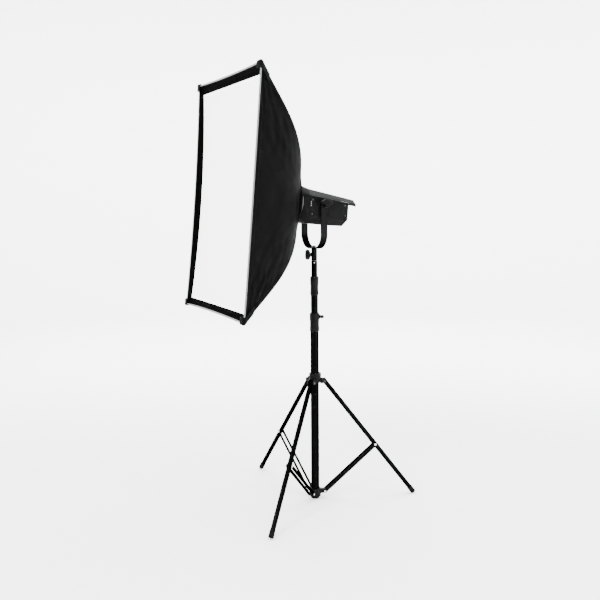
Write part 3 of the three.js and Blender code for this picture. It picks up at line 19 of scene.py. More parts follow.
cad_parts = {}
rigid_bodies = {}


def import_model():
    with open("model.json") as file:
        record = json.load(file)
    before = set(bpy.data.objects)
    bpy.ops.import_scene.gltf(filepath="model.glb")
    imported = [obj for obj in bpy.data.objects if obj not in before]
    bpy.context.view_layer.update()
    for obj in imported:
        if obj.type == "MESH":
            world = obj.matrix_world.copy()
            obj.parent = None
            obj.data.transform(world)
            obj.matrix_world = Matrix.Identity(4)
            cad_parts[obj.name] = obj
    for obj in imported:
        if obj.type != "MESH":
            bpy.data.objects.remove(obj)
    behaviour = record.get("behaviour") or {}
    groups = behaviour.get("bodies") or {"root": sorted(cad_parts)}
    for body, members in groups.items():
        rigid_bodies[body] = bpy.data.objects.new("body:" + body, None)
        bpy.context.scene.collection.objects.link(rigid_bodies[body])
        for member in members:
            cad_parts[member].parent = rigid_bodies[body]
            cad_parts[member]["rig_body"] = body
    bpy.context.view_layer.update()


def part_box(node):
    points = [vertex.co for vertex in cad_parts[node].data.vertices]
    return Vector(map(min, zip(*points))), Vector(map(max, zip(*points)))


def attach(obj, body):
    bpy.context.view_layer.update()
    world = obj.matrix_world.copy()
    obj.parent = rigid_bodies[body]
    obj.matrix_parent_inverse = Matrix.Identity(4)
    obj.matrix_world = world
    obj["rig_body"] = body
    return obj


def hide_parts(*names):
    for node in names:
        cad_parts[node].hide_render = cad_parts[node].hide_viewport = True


MM = 0.001
TAU = 2 * pi
PIVOT_HEIGHT = 1244.6
HEAD_TILT = radians(5.2)
COLUMN_TOP = 1017.0
ROUND = 64

log = logging.getLogger("softbox")

Point = tuple[float, float, float]
Profile = Sequence[tuple[float, float]]


# ---- Shader nodes ----


def operator(operation: str, swapped: bool = False) -> Callable[[Socket, Value], Socket]:
    """Makes the method behind one of Python's operators.

    Args:
        operation: the Math node's operation.
        swapped: whether the other value comes first.

    Returns:
        The method, which adds the node.
    """

    def method(self: Socket, other: Value) -> Socket:
        """Adds the node for this value and another."""
        values = (other, self) if swapped else (self, other)
        return self._math(operation, *values)

    return method


class Socket:
    """An output of a shader node, on which Python's operators build further nodes."""

    def __init__(self, shader: Shader, output: bpy.types.NodeSocket) -> None:
        """Keeps the output and the shader that it belongs to."""
        self.shader = shader
        self.output = output

    @property
    def is_vector(self) -> bool:
        """Whether the output carries three numbers or a colour."""
        return self.output.type in {"VECTOR", "RGBA"}

    def _math(self, operation: str, *values: Value) -> Socket:
        """Adds a Math node, or a Vector Math node where any of the values is a vector.

        Args:
            operation: the node's operation.
            values: its inputs in order.

        Returns:
            The node's output.
        """
        if any(isinstance(v, Socket) and v.is_vector for v in values):
            return self.shader.node("ShaderNodeVectorMath", {"operation": operation}, *values)
        return self.shader.node("ShaderNodeMath", {"operation": operation}, *values)

    __add__ = operator("ADD")
    __radd__ = operator("ADD", swapped=True)
    __sub__ = operator("SUBTRACT")
    __rsub__ = operator("SUBTRACT", swapped=True)
    __mul__ = operator("MULTIPLY")
    __rmul__ = operator("MULTIPLY", swapped=True)
    __truediv__ = operator("DIVIDE")
    __rtruediv__ = operator("DIVIDE", swapped=True)
    __pow__ = operator("POWER")
    __gt__ = operator("GREATER_THAN")
    __lt__ = operator("LESS_THAN")

    def sine(self) -> Socket:
        """The sine of the value."""
        return self._math("SINE", self)

    def wave(self, pitch: float) -> Socket:
        """A sine wave from 0 to 1 that repeats at each pitch."""
        return (self * (TAU / pitch)).sine() * 0.5 + 0.5

    def size(self) -> Socket:
        """The value without its sign."""
        return self._math("ABSOLUTE", self)

    def clamped(self) -> Socket:
        """The value held between 0 and 1."""
        return self.shader.node("ShaderNodeClamp", {}, self)

    def smooth(self, low: float, high: float) -> Socket:
        """A smooth step from 0 at low to 1 at high."""
        settings = {"interpolation_type": "SMOOTHSTEP"}
        return self.shader.node("ShaderNodeMapRange", settings, self, low, high, 0.0, 1.0)

    def part(self, axis: int) -> Socket:
        """One part of a vector, 0 for x to 2 for z."""
        return self.shader.node("ShaderNodeSeparateXYZ", {}, self, take=axis)

    def mix(self, low: Value, high: Value) -> Socket:
        """Goes from low to high with this value as the factor, as a colour."""
        settings = {"data_type": "RGBA"}
        return self.shader.node("ShaderNodeMix", settings, self, take=2, places={6: low, 7: high})


Value = "Socket | float | tuple[float, ...]"


class Shader:
    """A material's node tree, with one method that adds any node."""

    def __init__(self, name: str) -> None:
        """Makes an empty material with a Principled BSDF."""
        self.material = bpy.data.materials.new(name)
        self.material.use_nodes = True
        self.tree = self.material.node_tree
        self.tree.nodes.clear()
        self.output = self.tree.nodes.new("ShaderNodeOutputMaterial")
        self.surface = self.tree.nodes.new("ShaderNodeBsdfPrincipled")
        self.tree.links.new(self.surface.outputs[0], self.output.inputs[0])

    def node(
        self,
        kind: str,
        settings: dict[str, object] | None = None,
        *values: Value,
        take: int = 0,
        places: dict[int, Value] | None = None,
    ) -> Socket:
        """Adds a node.

        Args:
            kind: the node's type.
            settings: its own settings, set before its sockets; "stops" are a ramp's places and colours.
            values: the values or links of its inputs, in order from the first.
            take: which output is given back.
            places: further inputs by their number.

        Returns:
            The output that take names.
        """
        made = self.tree.nodes.new(kind)
        for key, value in (settings or {}).items():
            if key == "stops":
                ramp = made.color_ramp.elements
                while len(ramp) < len(value):
                    ramp.new(0.5)
                for stop, (place, colour) in zip(ramp, value):
                    stop.position, stop.color = place, (*colour, 1)
            else:
                setattr(made, key, value)
        for index, value in {**dict(enumerate(values)), **(places or {})}.items():
            self.feed(made.inputs[index], value)
        return Socket(self, made.outputs[take])

    def feed(self, target: bpy.types.NodeSocket, value: Value) -> None:
        """Links a socket or sets a plain value on an input."""
        if isinstance(value, Socket):
            self.tree.links.new(value.output, target)
        elif target.type == "RGBA" and not isinstance(value, (int, float)):
            target.default_value = (*value, 1) if len(value) == 3 else value
        elif target.type in {"VECTOR", "RGBA"} and isinstance(value, (int, float)):
            target.default_value = (value,) * len(target.default_value)
        else:
            target.default_value = value

    def set(self, **values: Value) -> None:
        """Sets or links inputs of the Principled BSDF by name, with _ for a space."""
        for key, value in values.items():
            self.feed(self.surface.inputs[key.replace("_", " ")], value)

    def place(self) -> Socket:
        """The surface's own coordinates, in metres."""
        return self.node("ShaderNodeTexCoord", {}, take=3)

    def noise(
        self, scale: float, detail: float = 3.0, roughness: float = 0.55, stretch: Point = (1, 1, 1)
    ) -> Socket:
        """Noise from 0 to 1, at so many waves to a metre, stretched along the axes.

        Args:
            scale: waves to a metre.
            detail: octaves.
            roughness: strength of each further octave.
            stretch: how much closer the waves are along each axis.

        Returns:
            The noise's value.
        """
        where = self.place() * tuple(stretch)
        return self.node("ShaderNodeTexNoise", {}, places={0: where, 2: scale, 3: detail, 4: roughness})

    def cells(self, scale: float) -> Socket:
        """Distance to the nearest of so many random points to a metre."""
        return self.node("ShaderNodeTexVoronoi", {}, places={0: self.place(), 2: scale})

    def edge_wear(self, low: float = 0.53, high: float = 0.6) -> Socket:
        """A mask of convex edges, where paint rubs thin.

        Args:
            low: pointiness at which the wear begins.
            high: pointiness at which it is full.

        Returns:
            The mask, broken up by noise.
        """
        pointed = self.node("ShaderNodeNewGeometry", {}, take=7)
        return pointed.smooth(low, high) * self.noise(160, 4).smooth(0.42, 0.62)

    def bump(
        self, height: Socket, depth: float, strength: float = 1.0, under: Socket | None = None
    ) -> Socket:
        """Turns a height into a normal.

        Args:
            height: from 0 to 1.
            depth: the height of 1, in millimetres.
            strength: how strongly it shows.
            under: a normal that it is laid over.

        Returns:
            The normal.
        """
        places: dict[int, Value] = {0: strength, 1: depth * MM, 3: height}
        if under is not None:
            places[4] = under
        return self.node("ShaderNodeBump", {}, places=places)


# ---- Forms: points and faces in millimetres ----


def vec(*parts: float) -> Vector:
    """A point or a direction from its parts."""
    return Vector(parts)


@dataclass
class Form:
    """Points and faces of one or more closed shapes, with a finish number for each face."""

    points: list[Vector] = field(default_factory=list)
    faces: list[tuple[int, ...]] = field(default_factory=list)
    finishes: list[int] = field(default_factory=list)
    lay: list[Vector] = field(default_factory=list)

    def add(self, other: Form) -> Form:
        """Takes in another form.

        Args:
            other: the form, which is left as it is.

        Returns:
            This form.
        """
        first = len(self.points)
        self.points += other.points
        self.lay += other.lay
        self.faces += [tuple(first + i for i in face) for face in other.faces]
        self.finishes += other.finishes
        return self

    def moved(self, place: Matrix) -> Form:
        """The form at another place."""
        return self.shaped(lambda p: place @ p)

    def shaped(self, change: Callable[[Vector], Vector]) -> Form:
        """The form with each point changed by a function."""
        return Form([change(p) for p in self.points], list(self.faces), list(self.finishes), list(self.lay))


def lerp(a: float, b: float, share: float) -> float:
    """A value between two others."""
    return a + (b - a) * share


def step(low: float, high: float, value: float) -> float:
    """A smooth step from 0 at low to 1 at high."""
    share = min(1.0, max(0.0, (value - low) / (high - low)))
    return share * share * (3 - 2 * share)


def bell(distance: float, width: float) -> float:
    """A rounded hump, 1 at no distance."""
    return exp(-((distance / width) ** 2))


def level_way(angle: float) -> Point:
    """The level direction at an angle, in degrees from +X."""
    return (cos(radians(angle)), sin(radians(angle)), 0.0)


def spun(angle: float) -> Matrix:
    """A turn about +Z, in degrees."""
    return Matrix.Rotation(radians(angle), 4, "Z")


def polar(radius: float, angle: float, height: float) -> Vector:
    """A point at a distance from the Z axis, by its angle and height."""
    return vec(radius * cos(angle), radius * sin(angle), height)


def rise(at: Point, direction: Point = (0, 0, 1)) -> Matrix:
    """The place that takes the origin to a point and +Z onto a direction."""
    turn = vec(0, 0, 1).rotation_difference(Vector(direction).normalized())
    return Matrix.Translation(Vector(at)) @ turn.to_matrix().to_4x4()


HEAD = Matrix.Translation(vec(0, 0, PIVOT_HEIGHT)) @ Matrix.Rotation(-HEAD_TILT, 4, "X")


def loft(loops: Sequence[Sequence[Vector]], caps: bool = True, ring: bool = False) -> Form:
    """Joins loops of points, one to the next.

    Args:
        loops: the loops, each with as many points.
        caps: whether the first and the last loop are closed by a face.
        ring: whether the last loop joins the first one.

    Returns:
        The form.
    """
    count = len(loops[0])
    faces: list[tuple[int, ...]] = []
    for row in range(len(loops) if ring else len(loops) - 1):
        here, there = row * count, ((row + 1) % len(loops)) * count
        for i in range(count):
            j = (i + 1) % count
            faces.append((here + i, here + j, there + j, there + i))
    if caps and not ring:
        last = (len(loops) - 1) * count
        faces += [tuple(reversed(range(count))), tuple(range(last, last + count))]
    return Form([Vector(p) for loop in loops for p in loop], faces, [0] * len(faces))


def eased(profile: Profile, radius: float, steps: int = 3, closed: bool = False) -> list[tuple[float, float]]:
    """Rounds the corners of a line of points.

    Args:
        profile: the points.
        radius: of the rounding, made smaller where a side is short.
        steps: points on each rounding less one.
        closed: whether the last point joins the first.

    Returns:
        The rounded line.
    """
    count = len(profile)
    made: list[tuple[float, float]] = []
    for i, here in enumerate(profile):
        if not closed and i in (0, count - 1):
            made.append(here)
            continue
        at = Vector(here)
        back, ahead = Vector(profile[i - 1]) - at, Vector(profile[(i + 1) % count]) - at
        if back.length < 1e-6 or ahead.length < 1e-6:
            made.append(here)
            continue
        half = back.angle(ahead) / 2
        if half > radians(86):
            made.append(here)
            continue
        reach = min(radius / max(tan(half), 0.05), back.length * 0.45, ahead.length * 0.45)
        start, end = at + back.normalized() * reach, at + ahead.normalized() * reach
        for k in range(steps + 1):
            share = k / steps
            point = start * (1 - share) ** 2 + at * 2 * share * (1 - share) + end * share**2
            made.append((point.x, point.y))
    return made


def turned(profile: Profile, place: Matrix | None = None, ease: float = 0.6, sides: int = ROUND) -> Form:
    """A solid turned on a lathe.

    Args:
        profile: [radius, height] points; a profile whose ends meet makes a ring or pipe.
        place: where its axis stands.
        ease: how much its edges are rounded.
        sides: faces round it.

    Returns:
        The form.
    """
    ring = profile[0] == profile[-1]
    line = eased(profile[:-1] if ring else profile, ease, closed=ring)
    line = [p for i, p in enumerate(line) if ring or p[0] > 1e-6 or 0 < i < len(line) - 1]
    angles = [TAU * i / sides for i in range(sides)]
    loops = [[polar(r, a, h) for a in angles] for r, h in line]
    return loft(loops, ring=ring).moved(place or Matrix())


def lobed(
    outline: Callable[[float], float], profile: Profile, place: Matrix, sides: int = 140, ease: float = 0.8
) -> Form:
    """A grip whose edge isn't round.

    Args:
        outline: radius by angle, as a share of the profile's radius.
        profile: [radius, height] points from the axis back to it.
        place: where its axis stands.
        sides: faces round it.
        ease: how much its edges are rounded.

    Returns:
        The form.
    """
    line = [p for p in eased(profile, ease) if p[0] > 1e-6]
    widest = max(r for r, _ in line)
    loops = []
    for r, h in line:
        depth = (r / widest) ** 2
        loop = []
        for i in range(sides):
            angle = TAU * i / sides
            here = r * lerp(1.0, outline(angle), depth)
            loop.append(polar(here, angle, h))
        loops.append(loop)
    return loft(loops).moved(place)


def bar(radius: float, start: float, end: float, place: Matrix | None = None, ease: float = 0.5) -> Form:
    """A round bar between two heights."""
    return turned([(0, start), (radius, start), (radius, end), (0, end)], place, ease, 40)


def plate(outline: Profile, low: float, high: float, place: Matrix | None = None) -> Form:
    """A flat outline given a thickness along +Z."""
    loops = [[vec(a, b, height) for a, b in outline] for height in (low, high)]
    return loft(loops).moved(place or Matrix())


def block(low: Point, high: Point, place: Matrix | None = None) -> Form:
    """A box by its lowest and highest corner, which a bevel rounds later."""
    outline = [(low[0], low[1]), (high[0], low[1]), (high[0], high[1]), (low[0], high[1])]
    return plate(outline, low[2], high[2], place)


def oval(length: float, width: float, steps: int = 12) -> list[tuple[float, float]]:
    """The outline of a slot with round ends, along the first axis from 0 to a length."""
    half = width / 2
    turns = [pi * i / steps for i in range(steps + 1)]
    far = [(length + half * sin(a), -half * cos(a)) for a in turns]
    near = [(-half * sin(a), half * cos(a)) for a in turns]
    return far + near


def swept(line: Sequence[Vector], section: Sequence[tuple[float, float]], side: Vector | None = None) -> Form:
    """A section carried along a line.

    Args:
        line: the points of its middle.
        section: its outline, as (sideways, upwards) pairs.
        side: the sideways direction at the start.

    Returns:
        The form.
    """
    loops = []
    across = side
    for i, here in enumerate(line):
        along = (line[min(i + 1, len(line) - 1)] - line[max(i - 1, 0)]).normalized()
        if across is None:
            across = along.orthogonal()
        across = (across - along * across.dot(along)).normalized()
        up = across.cross(along)
        loops.append([here + across * a + up * b for a, b in section])
    return loft(loops)


def circle(radius: float, sides: int = 16) -> list[tuple[float, float]]:
    """The outline of a round section."""
    return [(radius * cos(TAU * i / sides), radius * sin(TAU * i / sides)) for i in range(sides)]


def cloth_solid(
    grid: Sequence[Sequence[Vector]],
    lay: Sequence[Sequence[Vector]],
    thick: float,
    ring: bool,
    under: Sequence[Sequence[Vector]] | None = None,
) -> Form:
    """A sheet of cloth with two sides and hems, the second side with finish 1.

    Args:
        grid: rows of points of the outer side.
        lay: the same rows as places on the flat cloth.
        thick: its thickness, away from the outer side.
        ring: whether each row closes on itself.
        under: rows of points of the second side, where they aren't simply under the first.

    Returns:
        The form, outer side first.
    """
    rows, columns = len(grid), len(grid[0])
    outer = [p for row in grid for p in row]
    inner = []
    for r in range(rows):
        for c in range(columns):
            after = grid[r][(c + 1) % columns] if ring or c + 1 < columns else grid[r][c]
            before = grid[r][c - 1] if ring or c else grid[r][c]
            up, down = grid[min(r + 1, rows - 1)][c], grid[max(r - 1, 0)][c]
            inner.append(grid[r][c] - (after - before).cross(up - down).normalized() * thick)
    if under is not None:
        inner = [p for row in under for p in row]
    count = rows * columns
    faces: list[tuple[int, ...]] = []
    finishes: list[int] = []
    for r in range(rows - 1):
        for c in range(columns if ring else columns - 1):
            a, b = r * columns + c, r * columns + (c + 1) % columns
            faces += [
                (a, b, b + columns, a + columns),
                (count + a, count + a + columns, count + b + columns, count + b),
            ]
            finishes += [0, 1]
    for r in (0, rows - 1):
        for c in range(columns if ring else columns - 1):
            a, b = r * columns + c, r * columns + (c + 1) % columns
            faces.append((b, a, count + a, count + b) if r == 0 else (a, b, count + b, count + a))
            finishes.append(0)
    if not ring:
        for c in (0, columns - 1):
            for r in range(rows - 1):
                a, b = r * columns + c, (r + 1) * columns + c
                faces.append((a, b, count + b, count + a) if c == 0 else (b, a, count + a, count + b))
                finishes.append(0)
    return Form(outer + inner, faces, finishes, [p for row in lay for p in row] * 2)


# ---- Pieces: Blender objects that ride on the frame ----


def make(
    name: str,
    form: Form,
    finish: Finish | Sequence[Finish],
    body: str,
    stands_for: Iterable[str] = (),
    bevel: float = 0.0,
    smooth: float = 42.0,
    divide: int = 0,
) -> bpy.types.Object:
    """Turns a form into a piece on a body.

    Args:
        name: the piece's name.
        form: its shape, in millimetres in the row frame.
        finish: its finish, or one for each finish number of its faces.
        body: the CAD body that it rides on.
        stands_for: CAD nodes that it replaces.
        bevel: how much its edges are rounded.
        smooth: edges sharper than this many degrees stay sharp.
        divide: levels of subdivision.

    Returns:
        The object.
    """
    mesh = bpy.data.meshes.new(name)
    mesh.from_pydata([tuple(p * MM) for p in form.points], [], form.faces)
    finishes = [finish] if isinstance(finish, Finish) else list(finish)
    for one in finishes:
        mesh.materials.append(one.material())
    if len(finishes) > 1:
        mesh.polygons.foreach_set("material_index", form.finishes)
    if form.lay:
        lay = mesh.attributes.new("lay", "FLOAT_VECTOR", "POINT")
        lay.data.foreach_set("vector", [x * MM for p in form.lay for x in p])
    work = bmesh.new()
    work.from_mesh(mesh)
    bmesh.ops.recalc_face_normals(work, faces=work.faces)
    work.to_mesh(mesh)
    work.free()
    return dress(bpy.data.objects.new(name, mesh), body, stands_for, bevel, smooth, divide)


def dress(
    piece: bpy.types.Object,
    body: str,
    stands_for: Iterable[str],
    bevel: float,
    smooth: float,
    divide: int = 0,
) -> bpy.types.Object:
    """Shades a new object, rounds its edges and puts it on its body.

    Args:
        piece: the object, not yet in the scene.
        body: the CAD body that it rides on.
        stands_for: CAD nodes that it replaces.
        bevel: how much its edges are rounded, in millimetres.
        smooth: edges sharper than this many degrees stay sharp.
        divide: levels of subdivision.

    Returns:
        The object.
    """
    bpy.context.scene.collection.objects.link(piece)
    piece.data.shade_smooth()
    if bevel:
        rounding = piece.modifiers.new("edges", "BEVEL")
        rounding.width = bevel * MM
        rounding.segments = 3
        rounding.limit_method = "ANGLE"
        rounding.angle_limit = radians(28)
        rounding.harden_normals = True
    if divide:
        finer = piece.modifiers.new("finer", "SUBSURF")
        finer.levels = finer.render_levels = divide
    if smooth < 180:
        piece.data.set_sharp_from_angle(angle=radians(smooth))
    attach(piece, body)
    names = list(stands_for)
    if names:
        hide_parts(*names)
    log.info("%-28s %-18s %6d faces", piece.name, body, len(piece.data.polygons))
    return piece


def recast(
    node: str, name: str, finish: Finish, bevel: float, extra: Form | None = None, smooth: float = 30.0
) -> bpy.types.Object:
    """A piece with the shape of a CAD node, its flat faces whole and its edges rounded.

    Args:
        node: the CAD node that it replaces.
        name: the piece's name.
        finish: its finish.
        bevel: how much its edges are rounded, in millimetres.
        extra: a form that is part of the same piece.
        smooth: edges sharper than this many degrees stay sharp.

    Returns:
        The object.
    """
    source = bpy.data.objects[node]
    mesh = bpy.data.meshes.new(name)
    work = bmesh.new()
    work.from_mesh(source.data)
    bmesh.ops.remove_doubles(work, verts=work.verts, dist=2e-6)
    bmesh.ops.dissolve_limit(
        work, angle_limit=radians(0.8), use_dissolve_boundaries=False, verts=work.verts, edges=work.edges
    )
    if extra is not None:
        made = [work.verts.new(p * MM) for p in extra.points]
        for face in extra.faces:
            work.faces.new([made[i] for i in face])
    bmesh.ops.recalc_face_normals(work, faces=work.faces)
    for layer in list(work.loops.layers.uv.values()):
        work.loops.layers.uv.remove(layer)
    work.to_mesh(mesh)
    work.free()
    for attribute in [a.name for a in mesh.attributes if a.name == "custom_normal"]:
        mesh.attributes.remove(mesh.attributes[attribute])
    mesh.polygons.foreach_set("material_index", [0] * len(mesh.polygons))
    mesh.materials.append(finish.material())
    return dress(bpy.data.objects.new(name, mesh), source["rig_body"], [node], bevel, smooth)


# ---- Finishes ----


@dataclass(frozen=True)
class Finish:
    """How a surface looks, and the record's material slot that it belongs to."""

    name: str
    slot: str

    def material(self) -> bpy.types.Material:
        """The finish's material, made the first time that it is asked for."""
        made = bpy.data.materials.get(self.name)
        if made is None:
            shader = Shader(self.name)
            self.paint(shader)
            made = shader.material
        return made

    def paint(self, shader: Shader) -> None:
        """Sets the shader's inputs."""
        raise NotImplementedError

    @staticmethod
    def lay(shader: Shader) -> Socket:
        """Places on the flat cloth, in metres."""
        return shader.node("ShaderNodeAttribute", {"attribute_name": "lay"}, take=1)


@dataclass(frozen=True)
class Woven(Finish):
    """Woven cloth: two sets of threads, folds, a slight sheen and, where it is set, a painted glow that
    brightens the cloth.
    """

    colour: Point = (0.0009, 0.0009, 0.001)
    pale: float = 2.4
    thread: float = 0.55
    thread_depth: float = 0.05
    crumple: float = 0.5
    roughness: float = 0.72
    sheen: float = 0.001
    painted_glow: float = 0.0
    grid: float = 0.0
    specular: float = 0.015

    def paint(self, shader: Shader) -> None:
        """Threads and crumple in the normal; dust and wear in the colour; a painted glow in the emission
        where it is set.
        """
        lay = self.lay(shader)
        across, along = lay.part(0), lay.part(1)
        turn = TAU / (self.thread * MM)
        threads = (across * turn).sine() * (along * turn).sine() * 0.5 + 0.5
        if self.grid:
            lines = across.wave(self.grid * MM).smooth(0.97, 1.0) + along.wave(self.grid * MM).smooth(
                0.97, 1.0,
            )
            threads = (threads + lines * 0.8).clamped()
        soft = shader.noise(26, 4, 0.6)
        fine = shader.noise(140, 3, 0.5)
        folds = shader.bump(soft * 0.8 + fine * 0.2, self.crumple, 0.55)
        worn = shader.noise(9, 5, 0.65).smooth(0.35, 0.75)
        pale = tuple(min(1.0, part * self.pale) for part in self.colour)
        mask = (worn * 0.45 + threads * 0.2 + fine.smooth(0.5, 0.8) * 0.2).clamped()
        shader.set(
            Base_Color=mask.mix(self.colour, pale),
            Roughness=(self.roughness + (soft - 0.5) * 0.18).clamped(),
            Normal=shader.bump(threads, self.thread_depth, 0.8, folds),
            Sheen_Weight=self.sheen,
            Sheen_Roughness=0.45,
            Specular_IOR_Level=self.specular,
        )
        # Painted glow: the white cloth emits light of its own to look brighter, though it is no lamp.
        if self.painted_glow:
            shader.set(Emission_Color=(1.0, 1.0, 0.995), Emission_Strength=self.painted_glow)


@dataclass(frozen=True)
class Ribbed(Finish):
    """Narrow tape with ribs across it and a stitched line along it."""

    colour: Point = (0.13, 0.132, 0.135)
    rib: float = 1.5
    stitch: float = 3.2

    def paint(self, shader: Shader) -> None:
        """Ribs in the normal, painted shade in the hollows between them with grime over it, and stitches on
        the middle line.
        """
        lay = self.lay(shader)
        across, along = lay.part(0), lay.part(1)
        ribs = along.wave(self.rib * MM)
        line = 1 - (across - 3.2 * MM).size().smooth(0.25 * MM, 0.6 * MM)
        stitches = line * along.wave(self.stitch * MM).smooth(0.25, 0.4)
        grime = shader.noise(30, 5, 0.6).smooth(0.4, 0.8)
        # Painted shade: the hollows between the ribs take a darker colour; the grime noise adds real dirt on
        # top.
        shade = tuple(part * 0.55 for part in self.colour)
        mask = ((1 - ribs) * 0.55 + grime * 0.3).clamped()
        dark = tuple(part * 0.25 for part in self.colour)
        shader.set(
            Base_Color=(stitches * 0.5).mix(mask.mix(self.colour, shade), dark),
            Roughness=ribs * -0.1 + 0.74,
            Normal=shader.bump(ribs * 0.7 + stitches, 0.35, 0.8),
            Sheen_Weight=0.15,
            Sheen_Roughness=0.4,
        )


@dataclass(frozen=True)
class Painted(Finish):
    """Powder paint on metal: a fine grain, handling marks and edges rubbed pale."""

    colour: Point = (0.02, 0.0207, 0.021)
    worn: Point = (0.2, 0.2, 0.205)
    grain: float = 1500.0
    grain_depth: float = 0.06
    roughness: float = 0.5
    metallic: float = 0.0
    wear: float = 0.5
    streak: Point = (1, 1, 1)
    specular: float = 0.5
    edge: float = 1.0

    def paint(self, shader: Shader) -> None:
        """Grain in the normal, handling in the roughness, wear in the colour."""
        grain = shader.noise(self.grain, 2, 0.5, self.streak)
        handled = shader.noise(22, 5, 0.6)
        marks = shader.noise(90, 4, 0.7, self.streak).smooth(0.56, 0.74)
        rubbed = (shader.edge_wear() * self.wear).clamped()
        deep = tuple(part * 0.62 for part in self.colour)
        light = tuple(part * 1.5 for part in self.colour)
        colour = rubbed.mix((handled * 0.8 + marks * 0.2).clamped().mix(deep, light), self.worn)
        shader.set(
            Base_Color=colour,
            Metallic=self.metallic,
            Roughness=(self.roughness + (handled - 0.5) * 0.22 - marks * 0.07 - rubbed * 0.12).clamped(),
            Normal=shader.bump(grain, self.grain_depth, 0.7),
            Specular_IOR_Level=self.specular,
            Specular_Tint=(self.edge, self.edge, self.edge, 1.0),
        )


@dataclass(frozen=True)
class Bright(Finish):
    """Bare machined metal: turning lines, smears and small scratches."""

    colour: Point = (0.55, 0.56, 0.57)
    roughness: float = 0.28
    lines: Point = (1, 1, 30)

    def paint(self, shader: Shader) -> None:
        """Turning lines in the normal, smears in roughness and colour."""
        turning = shader.noise(120, 3, 0.6, self.lines)
        smear = shader.noise(34, 5, 0.65)
        scratch = shader.noise(420, 2, 0.8, (3, 1, 0.2)).smooth(0.68, 0.74)
        dull = tuple(part * 0.5 for part in self.colour)
        shader.set(
            Base_Color=(smear.smooth(0.35, 0.8) * 0.5 + scratch * 0.3).clamped().mix(self.colour, dull),
            Metallic=1.0,
            Roughness=(self.roughness + (smear - 0.5) * 0.25 + scratch * 0.15).clamped(),
            Normal=shader.bump(turning + scratch * 0.3, 0.03, 0.6),
        )


@dataclass(frozen=True)
class Moulded(Finish):
    """Moulded plastic or rubber with a pebbled skin."""

    colour: Point = (0.0035, 0.0036, 0.0038)
    pebble: float = 1300.0
    pebble_depth: float = 0.07
    roughness: float = 0.5
    wear: float = 0.25
    specular: float = 0.08

    def paint(self, shader: Shader) -> None:
        """Pebbles in the normal, scuffs in roughness and colour."""
        pebbles = shader.cells(self.pebble)
        scuffs = shader.noise(60, 5, 0.65)
        rubbed = (shader.edge_wear(0.54, 0.62) * self.wear).clamped()
        pale = tuple(part * 1.9 for part in self.colour)
        worn = tuple(part + 0.04 for part in self.colour)
        shader.set(
            Base_Color=rubbed.mix(scuffs.smooth(0.4, 0.8).mix(self.colour, pale), worn),
            Roughness=(self.roughness + (scuffs - 0.5) * 0.25).clamped(),
            Normal=shader.bump(pebbles, self.pebble_depth, 0.5),
            Specular_IOR_Level=self.specular,
        )


@dataclass(frozen=True)
class Clear(Finish):
    """Clear glass with faint smears."""

    tint: Point = (0.93, 0.96, 0.97)

    def paint(self, shader: Shader) -> None:
        """Smears in the roughness only."""
        smear = shader.noise(40, 4, 0.6).smooth(0.5, 0.85)
        dust = shader.noise(700, 2, 0.5).smooth(0.6, 0.8)
        shader.set(
            Base_Color=(dust * 0.1).mix(self.tint, (0.6, 0.6, 0.6)),
            Roughness=smear * 0.08 + 0.02,
            Transmission_Weight=1.0,
            IOR=1.5,
        )


@dataclass(frozen=True)
class Emitter(Finish):
    """The light source: a yellow phosphor disc on a white board."""

    disc: float = 15.0

    def paint(self, shader: Shader) -> None:
        """A disc by its place on the board, with the grid of chips under it."""
        lay = self.lay(shader)
        x, z = lay.part(0), lay.part(1)
        inside = 1 - (x * x + z * z).smooth((self.disc * MM * 0.985) ** 2, (self.disc * MM) ** 2)
        chips = x.wave(2.2 * MM).smooth(0.1, 0.35) * z.wave(2.2 * MM).smooth(0.1, 0.35)
        yellow = (chips * 0.5 + shader.noise(300, 3) * 0.3).clamped().mix(
            (0.62, 0.42, 0.05), (0.9, 0.68, 0.12),
        )
        board = shader.noise(80, 4).smooth(0.3, 0.8).mix((0.78, 0.79, 0.78), (0.6, 0.61, 0.6))
        shader.set(
            Base_Color=inside.mix(board, yellow),
            Roughness=inside * 0.15 + 0.4,
            Normal=shader.bump(chips * inside, 0.1, 0.5),
        )


@dataclass(frozen=True)
class Screen(Finish):
    """A dark display window with a plain level bar and four marks behind it."""

    def paint(self, shader: Shader) -> None:
        """The bar and marks by their place on the window; smears in the roughness."""
        lay = self.lay(shader)
        x, z = lay.part(0), lay.part(1)
        columns = x.wave(7.0 * MM).smooth(0.25, 0.4)
        bar = (z > -1.5 * MM) * (z < 3.0 * MM) * (x > -20 * MM) * (x < 8 * MM) * columns
        marks = (z > -8.5 * MM) * (z < -7.0 * MM) * (x > -20 * MM) * (x < 18 * MM) * columns
        lit = (bar + marks * 0.5).clamped()
        smear = shader.noise(50, 4, 0.6)
        shader.set(
            Base_Color=smear.smooth(0.3, 0.8).mix((0.004, 0.005, 0.007), (0.009, 0.01, 0.012)),
            Roughness=smear * 0.12 + 0.06,
            Emission_Color=lit.mix((0, 0, 0), (0.25, 0.6, 0.7)),
            Emission_Strength=0.5,
            Coat_Weight=1.0,
        )


SHELL = Woven(
    "black_nylon", "softbox_shell", (0.0007, 0.0007, 0.0008), roughness=0.56, grid=5.0, specular=0.009,
)
LINING = Woven(
    "silver_lining", "softbox_shell", (0.5, 0.51, 0.52), 1.4, 0.5, 0.04, 0.4, 0.35, 0.0, specular=0.6,
)
LIP = Woven(
    "lip_nylon", "softbox_trim", (0.0005, 0.0005, 0.0005), 2.0, 0.6, 0.06, 0.6, 0.8, 0.0, specular=0.006,
)
